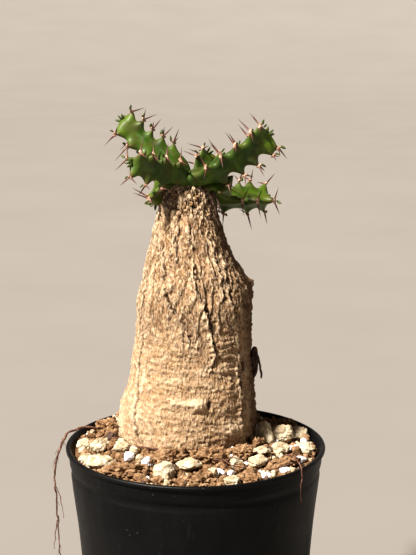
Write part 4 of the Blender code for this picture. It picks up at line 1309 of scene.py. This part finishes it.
def makeSoilThreads(finish):
    lying = [footPoint(*knot) for knot in (
        (-2.42, 2.6, 0.9), (-2.25, 1.4, 1.6), (-2.0, 0.9, 2.0), (-1.75, 0.9, 1.8), (-1.5, 1.1, 1.7),
        (-1.28, 1.6, 1.2))]
    threads = [strand(lying, 0.42, 0.16, 0.6, 2.0, 2)]
    threads.append(strand([lying[2], footPoint(-1.98, 2.6, 1.0), footPoint(-1.86, 4.2, 0.7)], 0.16, 0.07, 0.4,
        3.0))
    threads.append(strand([lying[3], footPoint(-1.6, 2.2, 1.4), footPoint(-1.45, 2.4, 0.9)], 0.14, 0.07, 0.4,
        4.0))
    dress(joinUp(threads, "rootOnSoil"), finish, ("root_on_soil",))
    level = soilLevel * 1000
    rootlets = [
        strand([(4.6, -22.0, level + 0.8), (8.9, -24.7, level + 1.6), (13.1, -29.0, level + 1.0),
        (17.4, -28.4, level + 0.6)],
               0.34, 0.12, 0.5, 7.0),
        strand([(9.4, -25.0, level + 1.5), (11.8, -25.6, level + 2.4), (15.9, -25.2, level + 2.2),
        (19.2, -28.6, level + 1.2)],
               0.22, 0.10, 0.5, 8.0),
        strand([(24.0, -33.0, level + 0.8), (28.5, -30.4, level + 1.5), (33.2, -28.2, level + 1.4)], 0.30,
        0.12, 0.5, 9.0),
    ]
    dress(joinUp(rootlets, "rootlets"), finish)
    chance = random.Random(8)
    tuft = []
    for i in range(dry["fibres"]):
        foot = Vector((chance.gauss(-28.6, 1.7), chance.gauss(10.6, 2.2), level - 0.4))
        lean = Vector((chance.gauss(0, 1.2), chance.gauss(0, 1.2), chance.uniform(1.4, 3.4)))
        tuft.append(strand([foot, foot + lean * 0.5 + Vector((chance.gauss(0, 0.5), 0, 0.3)), foot + lean],
            0.13, 0.05, 0.5, i))
    for i in range(dry["wisps"]):
        foot = Vector((chance.gauss(-27.0, 1.6), chance.gauss(-1.5, 2.4), level + 0.6))
        lean = Vector((chance.gauss(0.8, 1.2), chance.gauss(-1.4, 1.2), chance.uniform(-0.2, 1.4)))
        tuft.append(strand([foot, foot + lean * 0.5 + Vector((0, 0, 0.6)), foot + lean], 0.26, 0.08, 0.5,
            i + 50))
    dress(joinUp(tuft, "fibreTuft"), finish)


def makeDryShoots(finish):
    # two dead shoots that cling to the trunk's side, one hooked over, and a stalk
    hook = [strand([(17.2, 6, 103.5), (19.6, 6, 107.0), (20.3, 5.6, 111.5), (20.0, 5.4, 115.4),
        (20.4, 5.3, 117.2),
                    (21.2, 5.2, 116.4), (22.0, 5.0, 112.6), (22.8, 5.0, 108.4)], 1.25, 0.30, 0.4, 1.0, 2),
            strand([(17.6, 5.4, 105.0), (20.6, 5.2, 108.8), (21.0, 5.0, 112.8), (20.2, 5.0, 115.4)], 0.75,
            0.30, 0.6, 2.0, 2),
            strand([(18.2, 5, 112.4), (19.6, 4.6, 114.0), (20.3, 4.6, 116.0)], 0.5, 0.2, 0.3, 3.0),
            strand([(22.4, 5.0, 110.4), (22.9, 5.0, 108.8), (22.8, 4.9, 106.9)], 0.42, 0.35, 0.2, 4.0)]
    dress(joinUp(hook, "deadShoot"), finish, ("dry_shoot",))
    low, high = [Vector(corner) * 1000 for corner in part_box("dry_stalk")]
    stalk = [strand([(low.x + 0.6, high.y - 0.8, high.z - 0.8),
        (mix(low.x, high.x, 0.45), mix(low.y, high.y, 0.5), mix(low.z, high.z, 0.62)),
                     (high.x - 0.5, low.y + 0.7, low.z + 0.6)], 0.55, 0.22, 0.3, 5.0)]
    for knots in (((6.0, 3.0, 172.6), (7.6, 2.2, 169.4), (8.4, 2.0, 165.6)),
        ((5.0, 1.6, 171.4), (6.6, 0.9, 168.2), (7.0, 0.8, 165.4)),
                  ((-9.6, 4.0, 173.2), (-11.4, 2.8, 171.6), (-9.9, 2.4, 168.2)),
                  ((-8.4, 2.6, 172.0), (-9.8, 1.6, 170.0), (-8.8, 1.4, 166.8))):
        stalk.append(strand(knots, 0.50, 0.16, 0.4, knots[0][0]))
    dress(joinUp(stalk, "driedStalks"), finish, ("dry_stalk",))


def makeLitter(finish):
    # loose scales of bark and old shields packed round the neck
    bpy.ops.mesh.primitive_grid_add(x_subdivisions=3, y_subdivisions=3, size=1)
    pattern = newest("scalePattern")
    sculpt(pattern, lambda place, normal: Vector((place.x * (1 - abs(place.y) * 0.7), place.y,
        0.35 * place.x**2 - 0.3 * place.y**2)))
    body = pattern.modifiers.new("body", "SOLIDIFY")
    body.thickness = 0.22
    settle(pattern)
    chance = random.Random(41)
    chips = []
    for i in range(dry["chips"]):
        share = chance.uniform(0.90, 1.035)
        radius, lean = trunkSection(min(1.0, share))
        radius *= mix(1.0, 0.55, ease((share - 0.99) / 0.045))
        turn = chance.uniform(-math.pi, math.pi)
        out = Vector((math.cos(turn), math.sin(turn), 0.0))
        place = Vector((lean, trunkAxis.y, soilLevel + trunkHeight * share)) + out * (radius + 0.0002)
        tilt = (out * chance.uniform(0.3, 1)
            + Vector((chance.gauss(0, 0.4), chance.gauss(0, 0.4), chance.uniform(-0.2, 0.9)))).normalized()
        size = chance.uniform(*dry["chipSize"]) / 1000
        chips.append(copyOf(pattern, facing(place, tilt, (size * 0.7, size, size * 0.7),
            chance.uniform(0, 6.28))))
    bpy.data.objects.remove(pattern)
    dress(joinUp(chips, "neckScales"), finish)


def makeDryBits():
    roots, scales, dark = rootFinish(), litterFinish(), darkFinish()
    makeRoots(roots)
    makeSoilThreads(roots)
    makeDryShoots(dark)
    makeLitter(scales)


makeDryBits()
print("roots and dry bits made")
